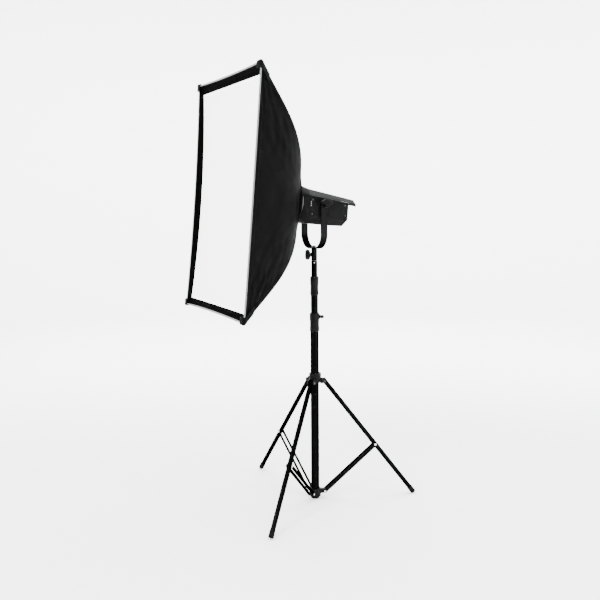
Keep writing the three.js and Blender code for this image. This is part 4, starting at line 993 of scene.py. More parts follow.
# The diffuser cloth and its hem carry a painted glow that brightens them.
DIFFUSER = Woven("diffuser_cloth", "diffuser", (0.86, 0.86, 0.855), 1.05, 0.5, 0.03, 0.3, 0.75, 0.1, painted_glow=1.5)
HEM = Woven("diffuser_hem_cloth", "diffuser", (0.9, 0.9, 0.895), 1.03, 0.7, 0.08, 0.2, 0.75, 0.1, painted_glow=2.4)
POCKET = Woven(
    "pocket_webbing", "pocket", (0.0012, 0.0012, 0.0013), 2.0, 1.3, 0.25, 0.3, 0.75, 0.002, specular=0.03,
)
WEBBING = Woven(
    "black_webbing", "softbox_trim", (0.0012, 0.0012, 0.0013), 2.2, 1.4, 0.3, 0.2, 0.75, 0.002,
    specular=0.03,
)
TAPE = Ribbed("grey_tape", "softbox_trim")
ROD_STEEL = Bright("rod_steel", "rod", (0.2, 0.205, 0.21), 0.34, (1, 1, 1))
RING_PAINT = Painted("ring_paint", "ring_metal", (0.003, 0.003, 0.0033), roughness=0.4, specular=0.08)
ADAPTER = Bright("adapter_metal", "adapter_metal", (0.5, 0.51, 0.52), 0.3, (1, 30, 1))
MOUNT = Bright("mount_metal", "mount_metal", (0.62, 0.63, 0.64), 0.32, (1, 30, 1))
HEAD_SHELL = Painted(
    "head_paint", "head_shell", (0.0026, 0.0028, 0.0027), (0.03, 0.03, 0.031), roughness=0.55,
    specular=0.03,
)
HEAD_LID = Painted(
    "lid_paint", "head_lid", (0.0062, 0.0066, 0.0067), (0.06, 0.06, 0.06), roughness=0.5, specular=0.05,
)
PLASTIC = Moulded("black_moulding", "black_plastic")
GRIP = Moulded(
    "grip_rubber", "black_plastic", (0.0013, 0.0013, 0.0014), 900.0, 0.12, 0.5, 0.06, specular=0.05,
)
RUBBER = Moulded("foot_rubber", "rubber", (0.0018, 0.0018, 0.0018), 500.0, 0.15, 0.78, 0.1, specular=0.04)
GLASS = Clear("cover_glass_clear", "glass")
LED = Emitter("phosphor_board", "led")
SINK = Bright("sink_aluminium", "heat_sink", (0.62, 0.63, 0.64), 0.38, (20, 1, 1))
DISPLAY = Screen("display_screen", "display")
STAND = Painted(
    "stand_enamel", "stand_metal", (0.0016, 0.0016, 0.0017), (0.04, 0.04, 0.042), 500.0, 0.02, 0.26, 1.0, 0.3,
    (1, 1, 0.02), edge=0.03,
)
YOKE = Painted(
    "yoke_enamel", "yoke_metal", (0.0042, 0.0042, 0.0044), (0.06, 0.06, 0.06), 1200.0, 0.05, 0.42, 1.0, 0.4,
    edge=0.08,
)
STEEL = Bright("bright_steel", "bright_steel", (0.56, 0.57, 0.58), 0.24)
BLACK_STEEL = Painted(
    "black_oxide", "black_steel", (0.012, 0.012, 0.013), (0.25, 0.25, 0.25), 900.0, 0.03, 0.32, 0.5,
    specular=0.3,
)


# ---- Softbox ----


class Side(Enum):
    """The softbox's four walls, as (is it a long wall, outward sign, way round)."""

    RIGHT = (True, 1, 1)
    TOP = (False, 1, -1)
    LEFT = (True, -1, -1)
    BOTTOM = (False, -1, 1)


@dataclass
class ShellShape:
    """The shape that the rods and the ring give the softbox, in the head's frame."""

    width: float = 600.0
    height: float = 900.0
    ahead: float = 410.0
    side_bow: float = 9.5
    end_bow: float = 5.0
    back_bow: float = 5.7
    ring_edge: float = 84.0
    depth: float = 312.7
    slope_front: float = 42.5
    slope_ring: float = 11.0
    handle_front: float = 191.0
    handle_ring: float = 227.0
    softness: float = 10.0

    @property
    def diagonal(self) -> float:
        """Half the front's diagonal."""
        return hypot(self.width, self.height) / 2

    @property
    def corner(self) -> tuple[float, float]:
        """The direction from the middle of the front to its corner."""
        return self.width / 2 / self.diagonal, self.height / 2 / self.diagonal

    def seam(self, t: float) -> tuple[float, float]:
        """A point of a corner seam.

        Args:
            t: from 0 at the front to 1 at the ring.

        Returns:
            Distance from the head's axis, and depth behind the front.
        """
        front, ring = radians(self.slope_front), radians(self.slope_ring)
        points = [
            (self.diagonal, 0.0),
            (self.diagonal - self.handle_front * cos(front), self.handle_front * sin(front)),
            (
                self.ring_edge + self.handle_ring * cos(ring),
                self.depth - self.handle_ring * sin(ring),
            ),
            (self.ring_edge, self.depth),
        ]
        share = ((1 - t) ** 3, 3 * t * (1 - t) ** 2, 3 * t * t * (1 - t), t**3)
        return (
            sum(w * p[0] for w, p in zip(share, points)),
            sum(w * p[1] for w, p in zip(share, points)),
        )

    def wall(self, side: Side, u: float, t: float, grow: float = 0.0) -> Vector:
        """A point of a wall.

        Args:
            side: which wall.
            u: across it, from -1 to 1.
            t: along it, from 0 at the front to 1 at the ring.
            grow: how far outside the cloth's face the point lies.

        Returns:
            The point.
        """
        long_wall, sign, _ = side.value
        corner_x, corner_z = self.corner
        radius, depth = self.seam(t)
        across, out = (corner_z, corner_x) if long_wall else (corner_x, corner_z)
        spread = atan2(across, out)
        bend = (1 - u * u) * (1 - t)
        past = self.ring_edge - radius * out
        push = (past + hypot(past, self.softness)) / 2
        turn = min(1.0, push / (self.ring_edge * (1 - out)))
        dome = (cos(spread * u) - cos(spread)) / (1 - cos(spread))
        far = radius * out - (self.side_bow if long_wall else self.end_bow) * bend + push * dome + grow
        along = lerp(u * radius * across, radius * sin(spread * u), turn) + grow * u
        y = depth + (self.back_bow * bend if long_wall else 0.0) - self.ahead
        return vec(sign * far, y, along) if long_wall else vec(along, y, sign * far)

    def loop(self, t: float, steps: int, grow: float = 0.0) -> list[tuple[Side, float, Vector]]:
        """Points all round the shell.

        Args:
            t: where along it.
            steps: points on each wall.
            grow: how far outside the cloth they lie.

        Returns:
            The wall, the place across it and the point, for each.
        """
        made = []
        for side in Side:
            for i in range(steps):
                u = side.value[2] * (2 * i / steps - 1)
                made.append((side, u, self.wall(side, u, t, grow)))
        return made

    def edge(self, insets: Point, depth: float, share: float, steps: int) -> list[Vector]:
        """A loop that follows the front edge.

        Args:
            insets: how far inside it lies at the sides, the top and the bottom.
            depth: behind the front.
            share: how much of the edge's bow it keeps.
            steps: points on each wall.

        Returns:
            The points.
        """
        side_in, top_in, bottom_in = insets
        upper, lower, wide = self.height / 2 - top_in, -self.height / 2 + bottom_in, self.width / 2 - side_in
        made = []
        for side in Side:
            long_wall, sign, way = side.value
            for i in range(steps):
                u = way * (2 * i / steps - 1)
                bend = (1 - u * u) * share
                y = depth - self.ahead
                if long_wall:
                    z = lerp(lower, upper, (u + 1) / 2)
                    made.append(vec(sign * (wide - self.side_bow * bend), y + self.back_bow * bend, z))
                else:
                    end = upper - self.end_bow * bend if sign > 0 else lower + self.end_bow * bend
                    made.append(vec(u * wide, y, end))
        return made


@dataclass
class Softbox:
    """Cloth shell, front, baffle, rods, speed ring and adapter, in the head's frame."""

    shape: ShellShape = field(default_factory=ShellShape)
    cloth: float = 0.9
    steps: int = 56
    rows: int = 84
    lining: float = 0.9
    lip_depth: float = 14.5
    lip_insets: Point = (18.0, 37.0, 30.0)
    lip_bow: float = 0.3
    binding: float = 5.5
    hem: float = 9.0
    baffle_depth: float = 165.0
    baffle_margin: float = 34.0
    rod_radius: float = 2.75
    rod_inset: float = 9.0
    rod_from: float = 0.066
    rod_to: float = 0.955
    ring_radius: float = 76.0
    ring_bore: float = 64.7
    ring_thick: float = 17.0
    flange_front: float = 101.6
    mount_front: float = 98.3
    body: str = "softbox"

    def build(self) -> None:
        """Makes every piece of the softbox."""
        self.shell()
        self.cuff()
        self.front_binding()
        self.front_lip()
        self.diffuser()
        self.baffle()
        for index, (name, sign_x, sign_z) in enumerate(self.corners()):
            self.pocket(name, index)
            self.rod(name, sign_x, sign_z)
        self.ring()
        self.adapter()

    @staticmethod
    def corners() -> list[tuple[str, int, int]]:
        """Names and signs of the four corners, in the order of the walls' meetings."""
        return [("top_right", 1, 1), ("top_left", -1, 1), ("bottom_left", -1, -1), ("bottom_right", 1, -1)]

    def tension(self, side: Side, u: float, t: float) -> float:
        """Height of the cloth's folds over its taut shape, in millimetres.

        Args:
            side: which wall.
            u: across it, from -1 to 1.
            t: along it.

        Returns:
            The height, less than zero for a hollow.
        """
        long_wall = side.value[0]
        radius, depth = self.shape.seam(t)
        half = radius * (self.shape.corner[1] if long_wall else self.shape.corner[0])
        from_seam = half * (1 - abs(u))
        seed = list(Side).index(side) * 7.3 + (11.0 if u > 0 else 0.0)
        height = 1.3 * bell(from_seam, 2.6) - 0.5 * bell(from_seam - 7, 4)
        height += 0.7 * step(13.0, 17.0, depth) * (1 - step(17.5, 22.0, depth))
        height -= 0.6 * bell(depth - 24, 4)
        run = hypot(from_seam, depth)
        angle = atan2(from_seam, depth + 6)
        wobble = 0.35 * noise.noise(vec(run / 70, seed, 0))
        fan = cos(13.0 * (angle + wobble) + seed) + 0.6 * cos(23.0 * (angle - wobble) + seed * 2)
        reach = 170 if long_wall else 110
        creases = 2.6 * fan * exp(-run / reach) * step(6, 40, run) * step(3.0, 30.0, from_seam)
        height += max(-2.4, creases)
        pull = cos(TAU * (u * half / 31 + 0.6 * noise.noise(vec(u * 3, t * 3, seed))))
        height += 0.8 * pull * (1 - step(10, 120, depth)) * step(20, 60, from_seam)
        pleat = cos(TAU * u * (7 if long_wall else 5) + 0.8 * noise.noise(vec(u * 4, t * 6, seed)))
        height += 1.5 * pleat * step(0.72, 0.95, t) * (1 - step(0.975, 1.0, t)) * step(0.0, 12.0, from_seam)
        where = self.shape.wall(side, u, t) / 95
        height += 2.3 * noise.noise(where + vec(seed, 0, 0)) * step(0, 40, from_seam) * step(5, 70, depth)
        return height

    def shell(self) -> None:
        """The four sewn walls as one sheet, silver inside."""
        grid, under, lay = [], [], []
        for r in range(self.rows + 1):
            share = r / self.rows
            t = 0.005 + 0.995 * (0.7 * share + 0.3 * share**1.8)
            _, depth = self.shape.seam(t)
            row, below, flat = [], [], []
            travel = 0.0
            before = None
            for side, u, point in self.shape.loop(t, self.steps):
                lift = self.tension(side, u, t)
                outward = self.shape.wall(side, u, t, 1.0) - point
                here = point + outward.normalized() * lift
                travel += (point - before).length if before else 0.0
                before = point
                row.append(here)
                below.append(here - outward.normalized() * self.lining)
                flat.append(vec(travel, depth * 1.35, 0))
            grid.append(row)
            under.append(below)
            lay.append(flat)
        form = cloth_solid(grid, lay, self.lining, ring=True, under=under).moved(HEAD)
        nodes = [f"shell_{side.name.lower()}" for side in Side]
        made = make("softbox_shell", form, [SHELL, LINING], self.body, nodes, smooth=180)

    def cuff(self) -> None:
        """The doubled band of webbing that closes the shell round the ring."""
        rows = []
        for t, grow in ((0.945, 0.3), (0.948, 1.3), (0.96, 1.5), (0.992, 1.5), (0.998, 1.1), (0.998, 0.3)):
            rows.append([p for _, _, p in self.shape.loop(t, 40, grow + 1.2)])
        count = len(rows[0])
        lay = [vec(c * 5.0, r * 8.0, 0) for r in range(len(rows)) for c in range(count)]
        form = loft(rows, ring=True).moved(HEAD)
        form.lay = lay
        made = make("ring_cuff", form, WEBBING, self.body, smooth=60)

    def front_binding(self) -> None:
        """Grey tape folded over the front edge."""
        steps, shape, wide = 60, self.shape, self.binding
        face = (
            (wide, -0.35), (wide, -1.3), (wide - 0.8, -1.75), (wide / 2, -1.9), (0.6, -1.8), (-0.7, -1.1),
        )
        rows = [shape.edge((inset,) * 3, depth, 1, steps) for inset, depth in face]
        for t, grow in (
            (0.0, 1.3), (0.003, 1.45), (0.0062, 1.5), (0.0068, 1.2), (0.0068, 0.7), (0.003, 0.45),
        ):
            rows.append([p for _, _, p in shape.loop(t, steps, grow)])
        rows.append(shape.edge((0.0,) * 3, -0.35, 1, steps))
        count = len(rows[0])
        across = [0.0, 0.9, 1.7, 4.3, 7.2, 8.6, 9.8, 11.8, 14.0, 14.6, 14.6, 12.0, 8.0]
        travel = [0.0]
        for c in range(1, count):
            travel.append(travel[-1] + (rows[3][c] - rows[3][c - 1]).length)
        form = loft(rows, ring=True).moved(HEAD)
        form.lay = [vec(across[r], travel[c], 0) for r in range(len(rows)) for c in range(count)]
        made = make("front_binding_tape", form, TAPE, self.body, ["front_binding"], smooth=70)

    def front_lip(self) -> None:
        """The black band inside the front edge, down to the strip that holds the diffuser."""
        steps, rows, lay = 72, [], []
        side_in, top_in, bottom_in = self.lip_insets
        stations = [i / 8 for i in range(9)] + [1.25, 1.55]
        for share in stations:
            fall = min(1.0, share)
            beyond = max(0.0, share - 1.0) / 0.55 * 9.0
            insets = tuple(lerp(3.7, knee, fall) + beyond for knee in (side_in, top_in, bottom_in))
            bow = lerp(1.0, self.lip_bow, fall)
            loop = self.shape.edge(insets, lerp(0.6, self.lip_depth, fall), bow, steps)
            row = []
            for c, point in enumerate(loop):
                angle = TAU * c / len(loop)
                ripple = 1.4 * noise.noise(vec(cos(angle) * 9, sin(angle) * 9, 2.0))
                ripple += 0.5 * sin(angle * 37)
                sway = sin(pi * fall) * ripple
                row.append(self.slack(point + vec(0, sway * 0.9, 0), fall))
            rows.append(row)
            lay.append([vec(c * 10.4, share * 30, 0) for c in range(len(row))])
        form = cloth_solid(
            [list(reversed(r)) for r in rows], [list(reversed(r)) for r in lay], self.cloth, True,
        )
        made = make("front_lip_band", form.moved(HEAD), [LIP, LIP], self.body, ["front_lip"], smooth=180)

    def slack(self, point: Vector, fall: float) -> Vector:
        """Draws a point of the lip or the diffuser in and back, most at the middle of the long sides.

        Args:
            point: the point on the taut shape.
            fall: how far down the lip it is, from 0 to 1.

        Returns:
            The point on the drawn shape.
        """
        edge = min(1.0, abs(point.x) / (self.shape.width / 2)) ** 2
        drawn = max(0.0, 1 - (point.z / (self.shape.height / 2)) ** 2) * edge * fall
        return point + vec(-copysign(17 * drawn, point.x), 13 * drawn, 0)

    def front_point(self, u: float, v: float, insets: Point, depth: float) -> Vector:
        """A point of the diffuser's face, u across from -1 to 1 and v up from -1 to 1."""
        side_in, top_in, bottom_in = insets
        shape = self.shape
        wide = shape.width / 2 - side_in - shape.side_bow * (1 - v * v) * self.lip_bow
        upper = shape.height / 2 - top_in - shape.end_bow * (1 - u * u) * self.lip_bow
        lower = -shape.height / 2 + bottom_in + shape.end_bow * (1 - u * u) * self.lip_bow
        back = shape.back_bow * (1 - v * v) * self.lip_bow * u * u
        return vec(u * wide, depth + back - shape.ahead, lerp(lower, upper, (v + 1) / 2))

    def diffuser(self) -> None:
        """The white front sheet with its slight billow, and the hem sewn round it."""
        insets = tuple(part + 0.8 for part in self.lip_insets)
        columns, rows = 64, 92
        grid, lay = [], []
        for r in range(rows + 1):
            v = 2 * r / rows - 1
            row, flat = [], []
            for c in range(columns + 1):
                u = 2 * c / columns - 1
                point = self.front_point(u, v, insets, self.lip_depth - 0.45)
                tight = min(1 - abs(u), (1 - abs(v)) * 1.5)
                ripple = 0.5 * sin(v * 58 + 2 * noise.noise(vec(u * 2, v * 3, 0))) * bell(1 - abs(u), 0.05)
                ripple += 0.4 * sin(u * 44) * bell(1 - abs(v), 0.035)
                folds = 1.1 * noise.noise(vec(u * 3.1, v * 2.2, 5.0)) * step(0.0, 0.3, tight)
                billow = 2.2 * (1 - u * u) * (1 - v * v)
                lift = vec(0, -(ripple + folds + billow) * step(0.0, 0.04, tight), 0)
                row.append(self.slack(point + lift, 1.0))
                flat.append(vec(point.x, point.z, 0))
            grid.append(row)
            lay.append(flat)
        form = cloth_solid(grid, lay, 0.5, ring=False).moved(HEAD)
        sheet = make("diffuser_sheet", form, [DIFFUSER, DIFFUSER], self.body, ["front_diffuser"], smooth=180)

        loops, steps = [], 60
        for inset, depth in (
            (0.0, -0.4), (0.4, -1.3), (self.hem * 0.5, -1.5), (self.hem - 0.5, -1.45), (self.hem, -0.6),
        ):
            sides = tuple(part + inset for part in insets)
            edge = self.shape.edge(sides, self.lip_depth + depth - 0.35, self.lip_bow, steps)
            loops.append([self.slack(point, 1.0) for point in edge])
        form = loft(loops, ring=True).moved(HEAD)
        count = len(loops[0])
        form.lay = [vec(r * 2.2, c * 12.0, 0) for r in range(len(loops)) for c in range(count)]
        hem = make("diffuser_hem", form, HEM, self.body, smooth=60)

    def baffle(self) -> None:
        """The inner sheet, its hem and the four straps that hold it to the rods."""
        seams = (self.shape.seam(i / 200) for i in range(201))
        seam = next(place for place in seams if place[1] >= self.baffle_depth)
        corner_x, corner_z = self.shape.corner
        wide, high = seam[0] * corner_x - self.baffle_margin, seam[0] * corner_z - self.baffle_margin
        y = self.baffle_depth - self.shape.ahead
        grid, lay = [], []
        for r in range(41):
            v = r / 20 - 1
            row = []
            for c in range(31):
                u = c / 15 - 1
                pull = 1 - 0.035 * (1 - v * v) * abs(u)
                drop = 1 - 0.025 * (1 - u * u) * abs(v)
                sag = 1.4 * (1 - u * u) * (1 - v * v) + 0.5 * noise.noise(vec(u * 3, v * 3, 9))
                row.append(vec(u * wide * pull, y + sag, v * high * drop))
            grid.append(row)
            lay.append([vec(p.x, p.z, 0) for p in row])
        form = cloth_solid(grid, lay, 0.5, ring=False).moved(HEAD)
        sheet = make("baffle_sheet", form, [DIFFUSER, DIFFUSER], self.body, ["inner_baffle"], smooth=180)
        end = seam[0] - 2 * self.rod_inset - self.rod_radius
        start = min(wide / corner_x, high / corner_z) - 12
        straps = Form()
        for _, sign_x, sign_z in self.corners():
            radial = vec(sign_x * corner_x, 0, sign_z * corner_z)
            sideways = vec(-radial.z, 0, radial.x)
            points = [(lerp(start, end, i / 8), 0.8 * sin(pi * i / 8)) for i in range(9)]
            tape = ((-7, -0.5), (7, -0.5), (7, 0.5), (-7, 0.5))
            loops = []
            for reach, sag in points:
                middle = radial * reach + vec(0, y + sag + 1.2, 0)
                loops.append([middle + sideways * a + vec(0, b, 0) for a, b in tape])
            strap = loft(loops)
            strap.lay = [vec(c * 7.0, r * 9.0, 0) for r in range(len(loops)) for c in range(4)]
            straps.add(strap)
        made = make("baffle_straps", straps.moved(HEAD), WEBBING, self.body, bevel=0.2)

    def pocket(self, name: str, index: int) -> None:
        """A cup of webbing over a rod's front end.

        Args:
            name: the corner's name.
            index: its number, counted from the top right the way that the walls run.
        """
        walls = list(Side)
        before, after = walls[index], walls[(index + 1) % 4]
        reach, ahead, back = 26.0, 3.4, 44.0
        corner = self.shape.wall(before, before.value[2], 0.0)
        inward = vec(-copysign(1, corner.x), 0, -copysign(1, corner.z))

        def rim(t: float, grow: float) -> list[Vector]:
            """Points from one edge of the cup round the corner to the other."""
            radius, _ = self.shape.seam(t)
            row = []
            for side, sign in ((before, 1), (after, -1)):
                half = radius * (self.shape.corner[1] if side.value[0] else self.shape.corner[0])
                away = [reach * (1 - i / 9) for i in range(10)]
                part = [
                    self.shape.wall(side, sign * side.value[2] * (1 - (d + 1.5) / half), t, grow)
                    for d in away
                ]
                row += part if sign == 1 else list(reversed(part))
            middle = (row[9] + row[10]) / 2
            tip = self.shape.wall(before, before.value[2], t, grow * 0.8)
            return row[:10] + [middle.lerp(tip, 0.7)] + row[10:]

        anchor = corner + inward * (reach - 2)
        loops: list[list[Vector]] = []
        first = rim(0.0, 3.0)
        for share in (0.06, 0.3, 0.55, 0.8, 0.93):
            row = []
            for point in first:
                flat = vec(point.x, 0, point.z) - vec(anchor.x, 0, anchor.z)
                bulge = ahead + 2.2 + 1.2 * sin(pi * min(1.0, share)) * 0.8
                here = vec(anchor.x, -self.shape.ahead - bulge, anchor.z) + flat * share
                row.append(here)
            loops.append(row)
        loops.append([p + vec(0, -ahead - 1.2, 0) for p in first])
        loops.append([p + vec(0, -ahead * 0.3, 0) for p in rim(0.0, 3.6)])
        last = next(i / 400 for i in range(401) if self.shape.seam(i / 400)[1] > back)
        for i in range(1, 10):
            t = last * i / 9
            pucker = 0.35 * sin(i * 1.3)
            loops.append(rim(t, 3.3 + pucker - 0.6 * (i / 9) ** 2))
        lay = [[vec(c * 3.0, r * 5.0, 0) for c in range(len(loops[0]))] for r in range(len(loops))]
        form = cloth_solid(loops, lay, 1.9, ring=False)
        made = make(
            f"pocket_{name}_cup", form.moved(HEAD), [POCKET, POCKET], self.body, [f"corner_pocket_{name}"],
            smooth=75, divide=1,
        )

    def rod_point(self, sign_x: int, sign_z: int, t: float) -> Vector:
        """A point of a rod's middle line."""
        radius, depth = self.shape.seam(t)
        ahead, behind = self.shape.seam(t + 0.002), self.shape.seam(t - 0.002)
        along = vec(ahead[0] - behind[0], ahead[1] - behind[1]).normalized()
        radius, depth = radius - along.y * self.rod_inset, depth + along.x * self.rod_inset
        corner_x, corner_z = self.shape.corner
        return vec(sign_x * corner_x * radius, depth - self.shape.ahead, sign_z * corner_z * radius)

    def rod(self, name: str, sign_x: int, sign_z: int) -> None:
        """A bent spring rod with a ball tip."""
        line = [self.rod_point(sign_x, sign_z, lerp(self.rod_from, self.rod_to, i / 60)) for i in range(61)]
        form = swept(line, circle(self.rod_radius, 20))
        way = (line[0] - line[3]).normalized()
        tip = turned(
            [(0, -9), (3.6, -9), (4.3, -4), (3.4, 0.5), (0, 1.2)], rise(tuple(line[0]), tuple(way)), 1.0,
            28,
        )
        form.add(tip)
        make(f"rod_{name}_steel", form.moved(HEAD), ROD_STEEL, self.body, [f"rod_{name}"])

    def ring(self) -> None:
        """The cast ring with its four rod sockets and the arms that join them to it."""
        back = -self.flange_front - 0.3
        edge = 1.5
        place = rise((0, back, 0), (0, -1, 0))
        profile = [
            (self.ring_bore, 0), (self.ring_radius - edge, 0), (self.ring_radius, edge),
            (self.ring_radius, 6.0), (self.ring_radius - 1.6, 7.0), (self.ring_radius - 1.6, 10.0),
            (self.ring_radius, 11.0), (self.ring_radius, self.ring_thick - edge),
            (self.ring_radius - edge, self.ring_thick), (self.ring_bore, self.ring_thick),
            (self.ring_bore, 0),
        ]
        form = turned(profile, place, sides=96)
        corner_x, corner_z = self.shape.corner
        for _, sign_x, sign_z in self.corners():
            root = self.rod_point(sign_x, sign_z, self.rod_to)
            way = (self.rod_point(sign_x, sign_z, self.rod_to - 0.009) - root).normalized()
            at = root - way * 10
            socket = [(3.7, 9), (6.5, 9), (6.5, 26), (5.6, 27), (3.7, 27), (3.7, 9)]
            form.add(turned(socket, rise(tuple(at), tuple(way)), 0.5, 32))
            form.add(bar(6.5, 0, 9.2, rise(tuple(at), tuple(way))))
            radial = vec(sign_x * corner_x, 0, sign_z * corner_z)
            sideways = vec(-radial.z, 0, radial.x)
            reach = at.dot(radial) + 5
            inner, outer = self.ring_radius - 6, reach
            loops = []
            for share in (0.0, 0.35, 0.7, 1.0):
                half = lerp(9.0, 5.4, step(0, 1, share))
                y = lerp(back - self.ring_thick / 2, at.y - 1, share)
                tall = lerp(self.ring_thick / 2 - 2, 4.4, share)
                middle = radial * lerp(inner, outer, share) + vec(0, y, 0)
                loops.append([middle + sideways * a + vec(0, b, 0) for a, b in eased(
                    [(-half, -tall), (half, -tall), (half, tall), (-half, tall)], 2.0, closed=True)])
            form.add(loft(loops))
        make("speed_ring_cast", form.moved(HEAD), RING_PAINT, self.body, ["speed_ring"])

    def adapter(self) -> None:
        """The bayonet adapter: flange, hub and three tabs."""
        tail, wall = 13.1 + 1.2, 4.0
        spigot, flange, thick, hub = 59.4, 73.5, 3.0, 64.0
        inner = spigot - wall
        place = rise((0, -self.mount_front - 0.3, 0), (0, -1, 0))
        profile = [
            (inner, -tail), (spigot, -tail), (spigot, 0), (flange, 0), (flange, thick), (hub, thick),
            (hub, thick + 15), (inner, thick + 15), (inner, -tail),
        ]
        form = turned(profile, place, 0.5, 96)
        for tab in range(3):
            middle = tab * TAU / 3 - pi / 2
            angles = [middle - 0.3 + 0.6 * i / 12 for i in range(13)]
            outline = [((spigot + 4.2) * cos(a), (spigot + 4.2) * sin(a)) for a in angles]
            outline += [((spigot - 1) * cos(a), (spigot - 1) * sin(a)) for a in reversed(angles)]
            form.add(plate(outline, -tail, -tail + 3.4, place))
        make("bayonet_adapter_turned", form.moved(HEAD), ADAPTER, "head", ["bayonet_adapter"], bevel=0.25)


# ---- LED head ----


@dataclass
class LampHead:
    """Housing, lid, nose, mount, light source, fan and rear controls, in the head's frame."""

    half: float = 72.0
    front: float = 58.0
    rear: float = 121.0
    bottom: float = 79.0
    bezel: float = 30.0
    mount_radius: float = 73.0
    mount_thick: float = 9.7
    latch_foot: float = 73.3
    body: str = "head"

    @property
    def bezel_front(self) -> float:
        """How far ahead of the pivot the nose ends."""
        return self.front + 0.3 + self.bezel

    def build(self) -> None:
        """Makes every piece of the head."""
        self.casings()
        self.screws()
        self.mount()
        self.latch()
        self.source()
        self.fan()
        self.controls()

    def casings(self) -> None:
        """Housing, lid and nose, with the lid's finger ribs and the nose's index marks."""
        recast("head_housing", "housing_shell", HEAD_SHELL, 1.3)
        ribs = Form()
        for i in range(9):
            ahead = -60 - i * 7.5
            top = lerp(58.0, 31.0, (58 - ahead) / 213)
            ribs.add(block((-34, -ahead - 1.6, top - 0.4), (34, -ahead + 1.6, top + 0.9)))
        recast("top_cover", "lid_shell", HEAD_LID, 1.0, ribs.moved(HEAD))
        recast("front_bezel", "nose_cone", HEAD_SHELL, 0.9)
        recast("rear_panel", "rear_panel_plate", PLASTIC, 0.5)
        marks = Form()
        for side in (-1, 1):
            for i in range(3):
                z = -8 + i * 8
                place = Matrix.Translation(vec(side * (self.half - 0.05), -self.front + 6, z))
                marks.add(block((-0.35, -1.6, -0.45), (0.35, 1.6, 0.45), place))
        make("nose_index_marks", marks.moved(HEAD), STEEL, self.body, bevel=0.1)

    def screws(self) -> None:
        """Cap screws with hexagon sockets, let into the housing's sides and the rear panel."""
        form = Form()
        places = [(side, y, z) for side in (-1, 1) for y, z in ((-46, -40), (108, -36), (-46, 16), (104, 4))]
        for side, y, z in places:
            form.add(self.screw(2.6, rise((side * (self.half - 0.2), y, z), (side, 0, 0))))
        for x, z in ((-60, -42), (60, -42), (-60, 12), (60, 12)):
            form.add(self.screw(2.2, rise((x, self.rear - 0.2, z), (0, 1, 0))))
        make("casing_screws", form.moved(HEAD), BLACK_STEEL, self.body)

    @staticmethod
    def screw(radius: float, place: Matrix) -> Form:
        """A domed cap screw with a hexagon socket."""
        sides = 36
        rows = []
        for share, height, hexed in (
            (1.0, 0.0, 0), (1.0, 0.5, 0), (0.86, 1.0, 0), (0.56, 1.15, 1), (0.5, 0.3, 1),
        ):
            row = []
            for i in range(sides):
                angle = TAU * i / sides
                flat = cos(pi / 6) / cos((angle % (pi / 3)) - pi / 6)
                reach = radius * share * (flat if hexed else 1.0)
                row.append(polar(reach, angle, height))
            rows.append(row)
        return loft(rows).moved(place)

    def mount(self) -> None:
        """The bright ring, knurled where fingers steady it, with three notches for the tabs."""
        back = -self.bezel_front - 0.3
        place = rise((0, back, 0), (0, -1, 0))
        hole, thick, radius = 60.0, self.mount_thick, self.mount_radius
        sides = 240
        rows = []
        profile = [
            (hole, 0.0), (radius - 0.8, 0.0), (radius, 0.9), (radius, 3.0), (radius - 0.9, 3.7),
            (radius - 0.9, 6.2), (radius, 6.9), (radius, thick - 1.6), (radius - 1.5, thick), (hole, thick),
        ]
        for reach, height in profile:
            row = []
            for i in range(sides):
                angle = TAU * i / sides
                here = reach
                if reach > hole and 3.5 < height < 6.5:
                    here -= 0.35 * (i % 3 == 0)
                if reach == hole:
                    notch = min(abs((angle + pi / 2 + 1 - k * TAU / 3 + pi) % TAU - pi) for k in range(3))
                    here += 4.2 * (1 - step(0.31, 0.34, notch))
                row.append(polar(here, angle, height))
            rows.append(row)
        make(
            "mount_ring_turned", loft(rows, ring=True).moved(place).moved(HEAD), MOUNT, self.body,
            ["mount_ring"],
        )

    def latch(self) -> None:
        """The release slider with its serrated thumb piece."""
        back = -self.bezel_front - 0.3
        ribs = Form()
        for i in range(4):
            y = back + 13.2 + i * 1.7
            ribs.add(block((-5.6, y, self.latch_foot + 9.8), (5.6, y + 0.8, self.latch_foot + 10.7)))
        recast("mount_latch", "latch_slider", PLASTIC, 0.6, ribs.moved(HEAD))

    def source(self) -> None:
        """Phosphor disc on its board, the glass over it and the finned sink behind."""
        y = -self.front + 1
        board = block((-31, y, -31), (31, y + 3, 31))
        disc = turned([(0, -0.5), (15, -0.5), (15, 1.3), (0, 1.5)], rise((0, y, 0), (0, -1, 0)), 0.3)
        form = board.add(disc)
        form.lay = [vec(p.x, p.z, 0) for p in form.points]
        make("phosphor_board", form.moved(HEAD), LED, self.body, ["led_board"], bevel=0.3)
        glass_back = -self.front - 0.3 - 7 - 0.3
        lens = turned([(0, 0), (52.6, 0), (52.6, 3), (0, 3)], rise((0, glass_back, 0), (0, -1, 0)), 0.5, 96)
        make("throat_glass", lens.moved(HEAD), GLASS, self.body, ["cover_glass"])
        recast("heat_sink", "sink_fins", SINK, 0.25)

